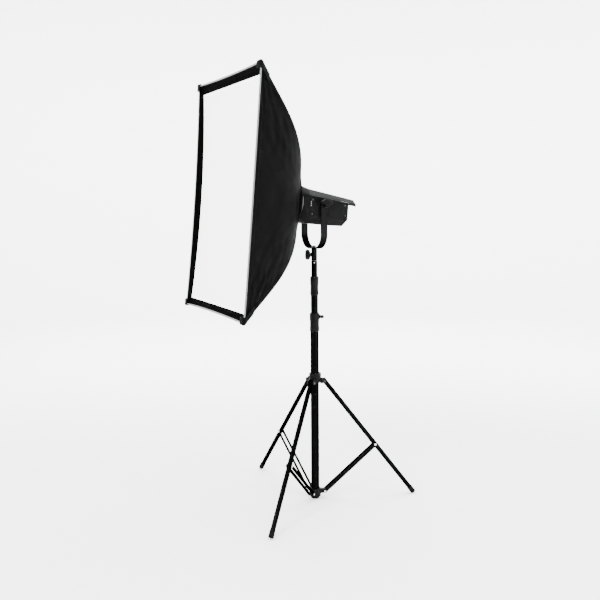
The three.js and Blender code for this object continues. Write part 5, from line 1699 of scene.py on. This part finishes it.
    def fan(self) -> None:
        """A fan rotor with seven twisted blades on a domed hub."""
        height = -16.0
        lo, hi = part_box("fan_rotor")
        middle = HEAD.inverted() @ ((lo + hi) / 2 / MM)
        place = rise((0, middle.y, height), (0, 1, 0))
        hub = [(3.4, -11.3), (15, -11.3), (15, 8.5), (13, 11.3), (3.4, 11.3), (3.4, -11.3)]
        form = turned(hub, place, 1.0)
        for blade in range(7):
            rows = []
            for i in range(9):
                reach = lerp(13.0, 43.6, i / 8)
                twist = lerp(0.95, 0.5, i / 8)
                chord = lerp(8.0, 11.5, i / 8) * (1 - 0.35 * (i / 8) ** 6)
                row = []
                for side, a in (
                    (1, -1.0), (1, -0.5), (1, 0.0), (1, 0.5), (1, 1.0), (-1, 0.5), (-1, 0.0), (-1, -0.5),
                ):
                    camber = 1.4 * (1 - a * a)
                    thick = 0.9 * (1 - 0.7 * a * a) * side
                    across = a * chord
                    x = across * cos(twist) - (camber + thick) * sin(twist)
                    z = across * sin(twist) + (camber + thick) * cos(twist)
                    row.append(vec(reach, x, z * 0.62))
                rows.append(row)
            turn = Matrix.Rotation(blade * TAU / 7, 4, "Z")
            form.add(loft(rows).moved(place @ turn))
        make("fan_rotor_blades", form.moved(HEAD), PLASTIC, "fan_rotor", ["fan_rotor"])

    def controls(self) -> None:
        """Display, dial, button, switch and inlet."""
        y = self.rear
        screen = block((-43.6, y - 1.1, -19.6), (17.6, y + 0.4, 9.6))
        screen.lay = [vec(p.x, p.z, 0) for p in screen.points]
        make("display_glass", screen.moved(HEAD), DISPLAY, self.body, ["display_window"], bevel=0.3)
        dial_place = rise((40, y, -30), (0, 1, 0))
        dial = lobed(
            lambda a: 1 - 0.03 * (0.5 + 0.5 * cos(36 * a)),
            [(0, 0.3), (10.4, 0.3), (11, 1.2), (11, 10.4), (9.6, 12), (0, 12)], dial_place, 216, 0.5,
        )
        dial.add(bar(4, -8, 0.6, dial_place))
        dial.add(block((5.2, -0.5, 11.6), (9.0, 0.5, 12.3), dial_place))
        make("dimmer_dial_grip", dial.moved(HEAD), PLASTIC, "dimmer_dial", ["dimmer_dial"])
        button = turned(
            [(0, -5), (5, -5), (5, 1.6), (3.6, 2.2), (1.5, 2.4), (0, 2.4)], rise((40, y, -4), (0, 1, 0)),
            0.5,
        )
        make("mode_button_cap", button.moved(HEAD), RUBBER, "mode_button", ["mode_button"])
        recast("power_switch", "power_rocker", PLASTIC, 0.4)
        recast("power_inlet", "power_inlet_socket", PLASTIC, 0.35)


# ---- Yoke and receiver ----


@dataclass
class Yoke:
    """The U strap, its pivots and knobs, and the receiver that clamps on the stand."""

    half: float = 84.0
    strap: float = 5.0
    width: float = 30.0
    bend: float = 62.0
    drop: float = 173.0
    receiver: float = 49.0
    knob_angle: float = 240.6

    def build(self) -> None:
        """Makes every piece."""
        self.u_strap()
        self.bolt()
        self.clamp()
        self.receiver_knob()
        self.tilt_knob()
        self.cap()

    def u_strap(self) -> None:
        """The strap, swept round the U, with two shallow grooves along its outer face."""
        middle = self.half - self.strap / 2
        low = PIVOT_HEIGHT - self.drop - self.strap / 2
        radius = self.bend - self.strap / 2
        corner = vec(middle - radius, 0, low + radius)
        line: list[Vector] = []
        reach = self.width / 2
        for i in range(13):
            angle = pi / 2 * i / 12
            line.append(vec(middle, 0, PIVOT_HEIGHT + reach * cos(angle)))
        line += [vec(middle, 0, lerp(PIVOT_HEIGHT - 3, corner.z + 3, i / 6)) for i in range(7)]
        for i in range(25):
            angle = -pi / 2 * i / 24
            line.append(corner + vec(radius * cos(angle), 0, radius * sin(angle)))
        line += [vec(lerp(corner.x - 3, 3, i / 2), 0, low) for i in range(3)]
        line += [vec(-p.x, 0, p.z) for p in reversed(line)]
        outline = self.section()
        loops = []
        for i, here in enumerate(line):
            along = (line[min(i + 1, len(line) - 1)] - line[max(i - 1, 0)]).normalized()
            out = vec(0, 1, 0).cross(along).normalized()
            past = max(0.0, here.z - PIVOT_HEIGHT)
            share = max(0.08, sqrt(max(0.0, reach**2 - past**2)) / reach)
            loops.append([here + vec(0, a * share, 0) + out * b for a, b in outline])
        make("yoke_strap", loft(loops), YOKE, "yoke", ["yoke"], smooth=35)

    def section(self) -> list[tuple[float, float]]:
        """The strap's cross-section, its outer face grooved."""
        w, t = self.width / 2, self.strap / 2
        edge = [(-w, -t), (w, -t), (w, t)]
        for at in (7.0, -7.0):
            edge += [(at + 1.4, t), (at + 0.8, t - 0.7), (at - 0.8, t - 0.7), (at - 1.4, t)]
        edge.append((-w, t))
        return eased(edge, 0.9, 3, closed=True)

    def bolt(self) -> None:
        """The button-head bolt that joins yoke and receiver, over a washer."""
        base = PIVOT_HEIGHT - self.drop + 0.3
        foot = COLUMN_TOP + 0.3 + self.receiver - 8.5
        form = turned(
            [(0, foot), (5, foot), (5, base), (8.5, base), (8.5, base + 1.2), (0, base + 1.2)], ease=0.3,
        )
        head = LampHead.screw(7.2, rise((0, 0, base + 1.2)))
        form.add(head.shaped(lambda p: vec(p.x, p.y, base + 1.2 + (p.z - base - 1.2) * 5.4)))
        make("yoke_bolt_head", form, BLACK_STEEL, "yoke", ["yoke_bolt"])

    def clamp(self) -> None:
        """The receiver: a sleeve with rings turned in it and the boss for its screw."""
        low = COLUMN_TOP + 0.3
        top = low + self.receiver
        bore, bore_top = 8.35, COLUMN_TOP + 37
        profile = [
            (bore, low), (11.2, low), (12, low + 1), (12, low + 6), (11.5, low + 6.8), (11.5, low + 8.2),
            (12, low + 9),
            (12, top - 9), (11.5, top - 8.2), (11.5, top - 6.8), (12, top - 6), (12, top - 1), (11.2, top),
            (5.4, top), (5.4, bore_top), (bore, bore_top), (bore, low),
        ]
        outer = turned(profile, ease=0.4)
        boss = [(4.4, 9.5), (8.5, 9.5), (8.5, 14.8), (7.8, 15.5), (4.4, 15.5), (4.4, 9.5)]
        outer.add(turned(boss, rise((0, 0, COLUMN_TOP + 24), level_way(self.knob_angle)), 0.3, 40))
        make("stand_receiver_sleeve", outer, YOKE, "yoke", ["stand_receiver"])

    def receiver_knob(self) -> None:
        """A seven-lobed knob with a domed face and its steel screw."""
        place = rise((0, 0, COLUMN_TOP + 24), level_way(self.knob_angle))
        foot = 15.8
        end = foot + 22
        lobes = 7
        grip = lobed(
            lambda a: 1 - 0.13 * (0.5 - 0.5 * cos(lobes * a)) ** 1.5,
            [
                (0, foot), (12, foot), (14, foot + 2), (19, foot + 3.5), (21, foot + 6.5),
                (21, end - 6), (18, end - 2), (12, end - 0.4), (8, end - 0.2), (7.4, end - 1.2),
                (0, end - 1.2),
            ],
            place, 168, 1.2,
        )
        make("receiver_knob_grip", grip, GRIP, "receiver_knob", ["receiver_knob"])
        screw = bar(4, 9, foot + 0.5, place)
        make("receiver_knob_screw", screw, STEEL, "receiver_knob")

    def tilt_knob(self) -> None:
        """The tilt lock: a round hub, a curved wing on top and a cap screw in its end."""
        face = self.half + 0.3
        place = rise((0, 0, 0), (1, 0, 0))
        hub = [
            (0, face), (16, face), (17, face + 1), (17, face + 5.5), (15.5, face + 7.5), (12.5, face + 9.5),
            (11.6, face + 14), (11, face + 24.5), (9.8, face + 26), (5.5, face + 26), (5.2, face + 25),
            (0, face + 25),
        ]
        form = turned(hub, place, 0.8, 72)
        form.add(LampHead.screw(4.6, rise((face + 24.8, 0, 0), (1, 0, 0))))
        outer = [radians(a) for a in range(42, 139, 6)]
        inner = [radians(a) for a in range(150, 29, -6)]
        rim = [(36 * cos(a), -16 + 36 * sin(a)) for a in outer]
        rim += [(18 * cos(a), -9 + 18 * sin(a)) for a in inner]
        rim = eased(rim, 2.4, 3, closed=True)
        middle = vec(0, 4.5)
        loops = []
        for height, shrink in ((0.0, 1.6), (0.5, 0.7), (1.6, 0.0), (10.4, 0.0), (11.5, 0.7), (12.0, 1.6)):
            row = []
            for a, b in rim:
                away = vec(a, b) - middle
                here = middle + away * (1 - shrink / max(away.length, 8.0))
                row.append(vec(face + 13 + height, here.x, here.y))
            loops.append(row)
        form.add(loft(loops))
        make("tilt_knob_wing", form.moved(HEAD), GRIP, "tilt_knob", ["tilt_knob"], smooth=50)

    def cap(self) -> None:
        """The round cap over the far pivot."""
        face = self.half + 0.3
        profile = [
            (0, face), (13.4, face), (14, face + 0.7), (14, face + 7.5), (12, face + 9.6), (9, face + 9.6),
            (8.4, face + 8.8), (3.5, face + 8.8), (3, face + 9.6), (0, face + 10),
        ]
        form = turned(profile, rise((0, 0, 0), (-1, 0, 0)), 0.6)
        make("pivot_cap_moulding", form.moved(HEAD), PLASTIC, "head", ["pivot_cap"])


# ---- Stand ----


@dataclass
class Column:
    """Three telescoping tubes, their collars and knobs, the plug and the spigot."""

    wall: float = 1.5
    lower: float = 17.5
    middle: float = 15.0
    top: float = 12.5
    lower_top: float = 776.0
    middle_top: float = 928.0

    def build(self) -> None:
        """Makes every piece."""
        self.plug()
        self.tube("lower_tube_drawn", self.lower, 3.3, self.lower_top, "stand", "lower_tube")
        self.tube("middle_tube_drawn", self.middle, 100, self.middle_top, "middle_section", "middle_tube")
        self.tube("top_tube_drawn", self.top, 180, COLUMN_TOP - 0.5, "top_section", "top_tube")
        self.spigot()
        self.collar("middle_collar", self.lower_top, self.lower, self.middle, self.lower + 3, 60.6, "stand")
        self.collar(
            "upper_collar", self.middle_top, self.middle, self.top, self.middle + 2.8, 151,
            "middle_section",
        )

    def plug(self) -> None:
        """The rubber plug in the column's lower end, with a ring turned in its face."""
        line = [
            (0, 0.5), (9, 0.5), (10, 0), (16.5, 0), (17.5, 1), (17.5, 3), (15.65, 3), (15.65, 19), (14, 19),
            (0, 19),
        ]
        make("column_plug_moulding", turned(line, ease=0.3), RUBBER, "stand", ["column_plug"])

    def tube(self, name: str, radius: float, low: float, high: float, body: str, node: str) -> None:
        """An anodised tube with eased ends."""
        inner = radius - self.wall
        line = [(inner, low), (radius, low)]
        line += [(radius, lerp(low, high, i / 8)) for i in range(1, 8)]
        line += [(radius, high), (inner, high), (inner, low)]
        make(name, turned(line, ease=0.5, sides=96), STAND, body, [node])

    def spigot(self) -> None:
        """The steel spigot, with the groove that the receiver's screw bites in, and its cross pin."""
        top = COLUMN_TOP + 36
        line = [
            (0, COLUMN_TOP - 34), (10.65, COLUMN_TOP - 34), (10.65, COLUMN_TOP - 0.2), (8, COLUMN_TOP - 0.2),
            (8, COLUMN_TOP + 18), (6.8, COLUMN_TOP + 19.5), (6.8, COLUMN_TOP + 28), (8, COLUMN_TOP + 29.5),
            (8, top - 1.5), (6.5, top), (0, top),
        ]
        form = turned(line, ease=0.4)
        pin = rise((0, 0, COLUMN_TOP - 8), level_way(-29.3))
        form.add(turned([(0, 10), (2.1, 10), (2.1, 12.62), (1.5, 12.76), (0, 12.8)], pin, 0.2, 32))
        make("spigot_turned", form, STEEL, "top_section", ["spigot"])

    def collar(
        self, node: str, seat: float, below: float, above: float, flare: float, angle: float, body: str
    ) -> None:
        """A moulded locking collar, its boss and its T-shaped knob.

        Args:
            node: the collar's CAD node.
            seat: height of the lower tube's end.
            below: radius of the tube it is fixed on.
            above: radius of the tube that slides in it.
            flare: its own widest radius.
            angle: the knob's direction, in degrees.
            body: the CAD body it belongs to.
        """
        bottom, top = seat - 53, seat + 24
        wide, tight = below + 0.35, above + 0.35
        line = [
            (wide, bottom), (flare - 1.5, bottom), (flare, bottom + 4), (flare, bottom + 7),
            (flare - 0.9, bottom + 8),
            (flare - 0.9, bottom + 10), (flare, bottom + 11), (flare - 1.2, bottom + 22),
            (flare - 1.2, top - 34),
            (flare, top - 27), (flare, top - 3), (flare - 2, top), (tight, top), (tight, seat + 0.3),
            (wide, seat + 0.3),
            (wide, bottom),
        ]
        form = turned(line, ease=0.9, sides=96)
        place = rise((0, 0, top - 16), level_way(angle))
        end = flare + 4
        boss = [
            (4.0, below - 1), (9.4, below - 1), (8.6, flare + 0.8), (8, flare + 1.6), (8, end - 0.8),
            (7.2, end), (4.0, end),
        ]
        form.add(turned(boss + [boss[0]], place, 0.5, 40))
        make(f"{node}_moulding", form, GRIP, body, [node])
        self.knob(f"{node}_knob", flare, above, angle, top - 16)

    def knob(self, node: str, flare: float, above: float, angle: float, height: float) -> None:
        """A T-shaped knob with two rounded wings and its steel screw."""
        place = rise((0, 0, height), level_way(angle))
        foot = flare + 4.3
        upright = place.to_3x3().inverted() @ vec(0, 0, 1)
        across = upright.cross(vec(0, 0, 1))
        hub = [
            (0, foot), (6, foot), (7, foot + 1), (7, foot + 7.5), (6.4, foot + 12), (4.6, foot + 14.6),
            (0, foot + 15),
        ]
        form = turned(hub, place, 0.8, 48)
        for turn in (-1, 1):
            shape = [
                (-2.5, -5.2), (4, -5.4), (10, -2.6), (13.6, -1.4), (14.2, 1.4), (13.2, 4.0), (9, 4.6),
                (-2.5, 5.4),
            ]
            rim = eased([(a * turn, b) for a, b in shape], 1.6, 4, closed=True)
            loops = []
            for level, shrink in (
                (5.2, 0.84), (5.7, 0.95), (6.6, 1.0), (12.0, 0.97), (13.6, 0.9), (14.0, 0.8),
            ):
                lift = vec(0, 0, foot + level)
                loops.append([across * (a * shrink) + upright * (b * shrink) + lift for a, b in rim])
            form.add(loft(loops).moved(place))
        make(f"{node}_grip", form, GRIP, node, [node], smooth=55)
        make(f"{node}_screw", bar(3.5, above + 1, foot + 0.4, place), STEEL, node)


@dataclass
class Legs:
    """The sliding spider, the fixed collar under it, three legs, their feet and their braces."""

    bore: float = 17.85
    leg_pivot: float = 40.0
    leg_height: float = 513.0
    brace_pivot: float = 41.0
    brace_height: float = 30.0
    joint_out: float = 258.0
    joint_up: float = 228.0
    tube: float = 9.75
    reach: float = 632.4
    slope: float = 37.41
    angles: tuple[tuple[str, float], ...] = (("near", -52.4), ("right", 67.6), ("left", 187.6))

    def build(self) -> None:
        """Makes every piece."""
        self.spider()
        self.root()
        for name, angle in self.angles:
            turn = spun(angle)
            self.leg(name, turn)
            self.brace(name, turn)

    def lug(self, radius: float, at: Point, thick: float, turn: Matrix) -> Form:
        """A round-ended lug from the collar's wall out to a pivot."""
        outline = [(at[0] + radius * cos(a), at[2] + radius * sin(a)) for a in
                   (radians(d) for d in range(-90, 91, 10))]
        outline += [(21.5, at[2] + radius + 3), (21.5, at[2] - radius - 3)]
        outline = eased(outline, 1.5, 3, closed=True)
        loops = []
        for y, inset in (
            (-thick / 2, 0.5), (-thick / 2 + 0.5, 0.0), (thick / 2 - 0.5, 0.0), (thick / 2, 0.5),
        ):
            loops.append([
                vec(a - inset * (1 if a > 30 else 0), y, lerp(b, at[2], inset / radius)) for a, b in outline
            ])
        return loft(loops).moved(turn)

    def spider(self) -> None:
        """The sliding collar with a fork for each leg."""
        low, high, radius = 506.0, 546.0, 24.0
        line = [
            (self.bore, low), (radius - 1.5, low), (radius, low + 1.5), (radius, high - 8),
            (radius - 0.8, high - 7),
            (radius - 0.8, high - 6), (radius, high - 5), (radius, high - 1.5), (radius - 2, high),
            (self.bore, high),
            (self.bore, low),
        ]
        form = turned(line, ease=0.8, sides=96)
        pins = Form()
        for _, angle in self.angles:
            turn = spun(angle)
            for side in (-1, 1):
                place = turn @ Matrix.Translation(vec(0, side * 11.9, 0))
                form.add(self.lug(8, (self.leg_pivot, 0, self.leg_height), 3.2, Matrix()).moved(place))
            pin = rise((self.leg_pivot, 0, self.leg_height), (0, 1, 0))
            rivet = [
                (0, -15), (4.4, -15), (4.9, -14.4), (4.9, -13.5), (3, -13.5), (3, 13.5), (4.9, 13.5),
                (4.9, 14.4), (4.4, 15), (0, 15),
            ]
            pins.add(turned(rivet, pin, 0.3, 32).moved(turn))
        place = rise((0, 0, 530), level_way(127.6))
        boss = [(4.0, 20), (8.8, 20), (8, 25), (8, 27.2), (7.2, 28), (4.0, 28), (4.0, 20)]
        form.add(turned(boss, place, 0.4, 40))
        make("leg_spider_moulding", form, GRIP, "spider", ["leg_spider"])
        make("leg_spider_pins", pins, BLACK_STEEL, "spider")
        foot = 28.3
        grip = lobed(
            lambda a: 1 - 0.12 * (0.5 - 0.5 * cos(5 * a)) ** 1.5,
            [(0, foot), (7, foot), (9, foot + 2.4), (14.4, foot + 3.6), (15, foot + 5), (15, foot + 9.6),
             (12.6, foot + 12.4), (9, foot + 13), (5, foot + 12.7), (0, foot + 12.7)],
            place, 120, 0.9,
        )
        make("spider_knob_grip", grip, GRIP, "spider_knob", ["spider_knob"])
        make("spider_knob_screw", bar(3.5, 18.3, foot + 0.4, place), STEEL, "spider_knob")

    def root(self) -> None:
        """The fixed collar at the column's foot, with a tongue for each pair of braces."""
        low, high, radius = 8.0, 44.0, 24.0
        line = [
            (self.bore, low), (radius - 2, low), (radius, low + 2), (radius, low + 5),
            (radius - 0.8, low + 6),
            (radius - 0.8, low + 7), (radius, low + 8), (radius, high - 2), (radius - 2, high),
            (self.bore, high),
            (self.bore, low),
        ]
        form = turned(line, ease=0.8, sides=96)
        for _, angle in self.angles:
            turn = spun(angle)
            form.add(self.lug(7, (self.brace_pivot, 0, self.brace_height), 19.5, turn))
        make("lower_collar_moulding", form, GRIP, "stand", ["lower_collar"])

    def leg(self, name: str, turn: Matrix) -> None:
        """A drawn leg tube and the ribbed rubber foot on its end."""
        slope = radians(self.slope)
        way = (sin(slope), 0.0, -cos(slope))
        place = turn @ rise((self.leg_pivot, 0, self.leg_height), way)
        inner = self.tube - 1.3
        line = [(inner, -8), (self.tube, -8)]
        line += [(self.tube, lerp(-8, self.reach, i / 6)) for i in range(1, 6)]
        line += [(self.tube, self.reach), (inner, self.reach), (inner, -8)]
        make(f"leg_{name}_drawn", turned(line, place, 0.5, 72), STAND, f"leg_{name}", [f"leg_{name}"])
        lo, hi = self.reach - 23.7, self.reach + 6.3
        cup = self.tube + 0.3
        foot = [
            (cup, self.reach + 0.3), (cup, lo), (10.6, lo), (11, lo + 0.8), (11, lo + 5), (10.5, lo + 5.8),
            (10.5, lo + 7.4),
            (11, lo + 8.2), (11, lo + 11), (10.5, lo + 11.8), (10.5, lo + 13.4), (11, lo + 14.2), (11, hi),
            (0.4, hi),
            (0.4, self.reach + 0.3), (cup, self.reach + 0.3),
        ]
        form = turned(foot, place, 0.4, 72).shaped(lambda p: vec(p.x, p.y, max(p.z, 0.0)))
        make(f"foot_{name}_moulding", form, RUBBER, f"leg_{name}", [f"foot_{name}"], smooth=30)

    def brace(self, name: str, turn: Matrix) -> None:
        """Two pressed bars beside the leg, with a rivet head at its leg end and the root's pin."""
        span = vec(self.joint_out - self.brace_pivot, 0, self.joint_up - self.brace_height)
        along = span.normalized()
        up = vec(0, -1, 0).cross(along)
        place = Matrix.Identity(4)
        for i, axis in enumerate((along, up, vec(0, -1, 0))):
            for k in range(3):
                place[k][i] = axis[k]
            place[i][3] = (self.brace_pivot, 0, self.brace_height)[i]
        place = turn @ place
        form = Form()
        width = 15.0
        for side in (-1, 1):
            loops = []
            for level, inset in ((10.4, 0.3), (10.7, 0.0), (12.1, 0.0), (12.4, 0.3)):
                outline = oval(span.length, width - 2 * inset, 14)
                loops.append([vec(a, b, side * level) for a, b in outline])
            form.add(loft(loops).moved(place))
            loops = []
            for level, inset in ((12.2, 0.0), (12.55, 0.5), (12.75, 1.3)):
                outline = oval(span.length - 44, 4.4 - 2 * inset, 8)
                loops.append([vec(a + 22, b, side * level) for a, b in outline])
            form.add(loft(loops).moved(place))
        make(f"brace_{name}_bars", form, STAND, f"brace_{name}", [f"brace_{name}"], smooth=35)
        pins = Form()
        for side in (-1, 1):
            head = [(0, 12.0), (5, 12.0), (5, 13.1), (4.2, 13.8), (0, 14.0)]
            across = tuple(place.to_3x3() @ vec(0, 0, side))
            far = place @ vec(span.length, 0, 0)
            near = place @ vec(0, 0, 0)
            pins.add(turned(head, rise(tuple(far), across), 0.3, 32))
            tail = [(0, 9.9), (3, 9.9), (3, 12.2), (4.6, 12.4), (4.2, 13.6), (0, 14)]
            pins.add(turned(tail, rise(tuple(near), across), 0.2, 32))
        make(f"brace_{name}_rivets", pins, STEEL, f"brace_{name}", smooth=35)


# ---- Studio ----


@dataclass
class Studio:
    """A plain pale floor and backdrop, soft lights and the camera."""

    reach: float = 7.0
    tall: float = 5.0
    eye: Point = (2.5964, -1.4551, 1.2567)
    yaw: float = 151.877
    pitch: float = -7.705
    roll: float = -0.424
    lens: float = 43.6

    def build(self) -> None:
        """Makes the stage."""
        self.cove()
        self.world()
        self.lights()
        self.camera()

    def cove(self) -> None:
        """A floor that curves up into a backdrop, seen from all round."""
        sides = 96
        bend = 1.6
        rows = []
        profile = [(1.0, 0.0), (2.4, 0.0), (self.reach - bend, 0.0)]
        for i in range(1, 13):
            angle = pi / 2 * i / 12
            profile.append((self.reach - bend + bend * sin(angle), bend - bend * cos(angle)))
        profile.append((self.reach, self.tall))
        for radius, height in profile:
            rows.append([
                vec(radius * cos(TAU * k / sides), radius * sin(TAU * k / sides), height)
                for k in range(sides)
            ])
        form = loft(rows, caps=False)
        form.faces.append(tuple(reversed(range(sides))))
        form.finishes.append(0)
        mesh = bpy.data.meshes.new("studio_cove")
        mesh.from_pydata([tuple(p) for p in form.points], [], form.faces)
        paper = Shader("studio_paper")
        paper.set(Base_Color=(0.93, 0.93, 0.93, 1.0), Roughness=0.85)
        mesh.materials.append(paper.material)
        mesh.shade_smooth()
        cove = bpy.data.objects.new("studio_cove", mesh)
        bpy.context.scene.collection.objects.link(cove)

    def world(self) -> None:
        """An even white surround."""
        world = bpy.data.worlds.new("studio_world")
        bpy.context.scene.world = world
        world.use_nodes = True
        shade = world.node_tree.nodes["Background"]
        shade.inputs["Color"].default_value = (1.0, 1.0, 1.0, 1.0)
        shade.inputs["Strength"].default_value = 1.3

    def lights(self) -> None:
        """A soft key from the camera's left, a low fill, one from above and two for the backdrop."""
        self.area("key", (1.9, -3.4, 3.1), (0, -0.3, 1.0), 1.6, 380.0)
        self.area("fill", (3.3, 1.6, 0.55), (0, -0.1, 1.1), 1.2, 120.0)
        self.area("top", (-0.4, 0.6, 4.4), (0, 0, 0.0), 4.0, 620.0)
        self.area("backdrop_left", (-2.6, -0.4, 3.6), (-6.6, 1.0, 1.6), 3.0, 620.0)
        self.area("backdrop_right", (-0.8, 2.6, 3.6), (-3.6, 6.4, 1.6), 3.0, 620.0)

    def area(self, name: str, at: Point, aim: Point, size: float, power: float) -> None:
        """A square soft light."""
        data = bpy.data.lights.new(f"studio_{name}", "AREA")
        data.size = size
        data.energy = power
        light = bpy.data.objects.new(f"studio_{name}", data)
        light.location = at
        light.rotation_euler = (Vector(aim) - Vector(at)).to_track_quat("-Z", "Y").to_euler()
        bpy.context.scene.collection.objects.link(light)

    def camera(self) -> None:
        """The camera, level with the lamp's head, off its left front."""
        yaw, pitch, roll = (radians(a) for a in (self.yaw, self.pitch, self.roll))
        ahead = vec(cos(pitch) * cos(yaw), cos(pitch) * sin(yaw), sin(pitch))
        level = ahead.cross(vec(0, 0, 1)).normalized()
        raised = level.cross(ahead)
        right = level * cos(roll) + raised * sin(roll)
        upward = raised * cos(roll) - level * sin(roll)
        data = bpy.data.cameras.new("studio_camera")
        data.lens = self.lens
        data.sensor_width = 36.0
        data.clip_end = 60.0
        camera = bpy.data.objects.new("studio_camera", data)
        place = Matrix.Identity(4)
        for k in range(3):
            place[k][0], place[k][1], place[k][2], place[k][3] = right[k], upward[k], -ahead[k], self.eye[k]
        camera.matrix_world = place
        bpy.context.scene.collection.objects.link(camera)
        bpy.context.scene.camera = camera


def main() -> None:
    """Builds the softbox kit, piece by piece, and the studio round it."""
    logging.basicConfig(level=logging.INFO, format="%(message)s")
    for old in list(bpy.data.objects):
        bpy.data.objects.remove(old, do_unlink=True)
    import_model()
    Column().build()
    Legs().build()
    Yoke().build()
    LampHead().build()
    Softbox().build()
    Studio().build()


if __name__ == "__main__":
    main()
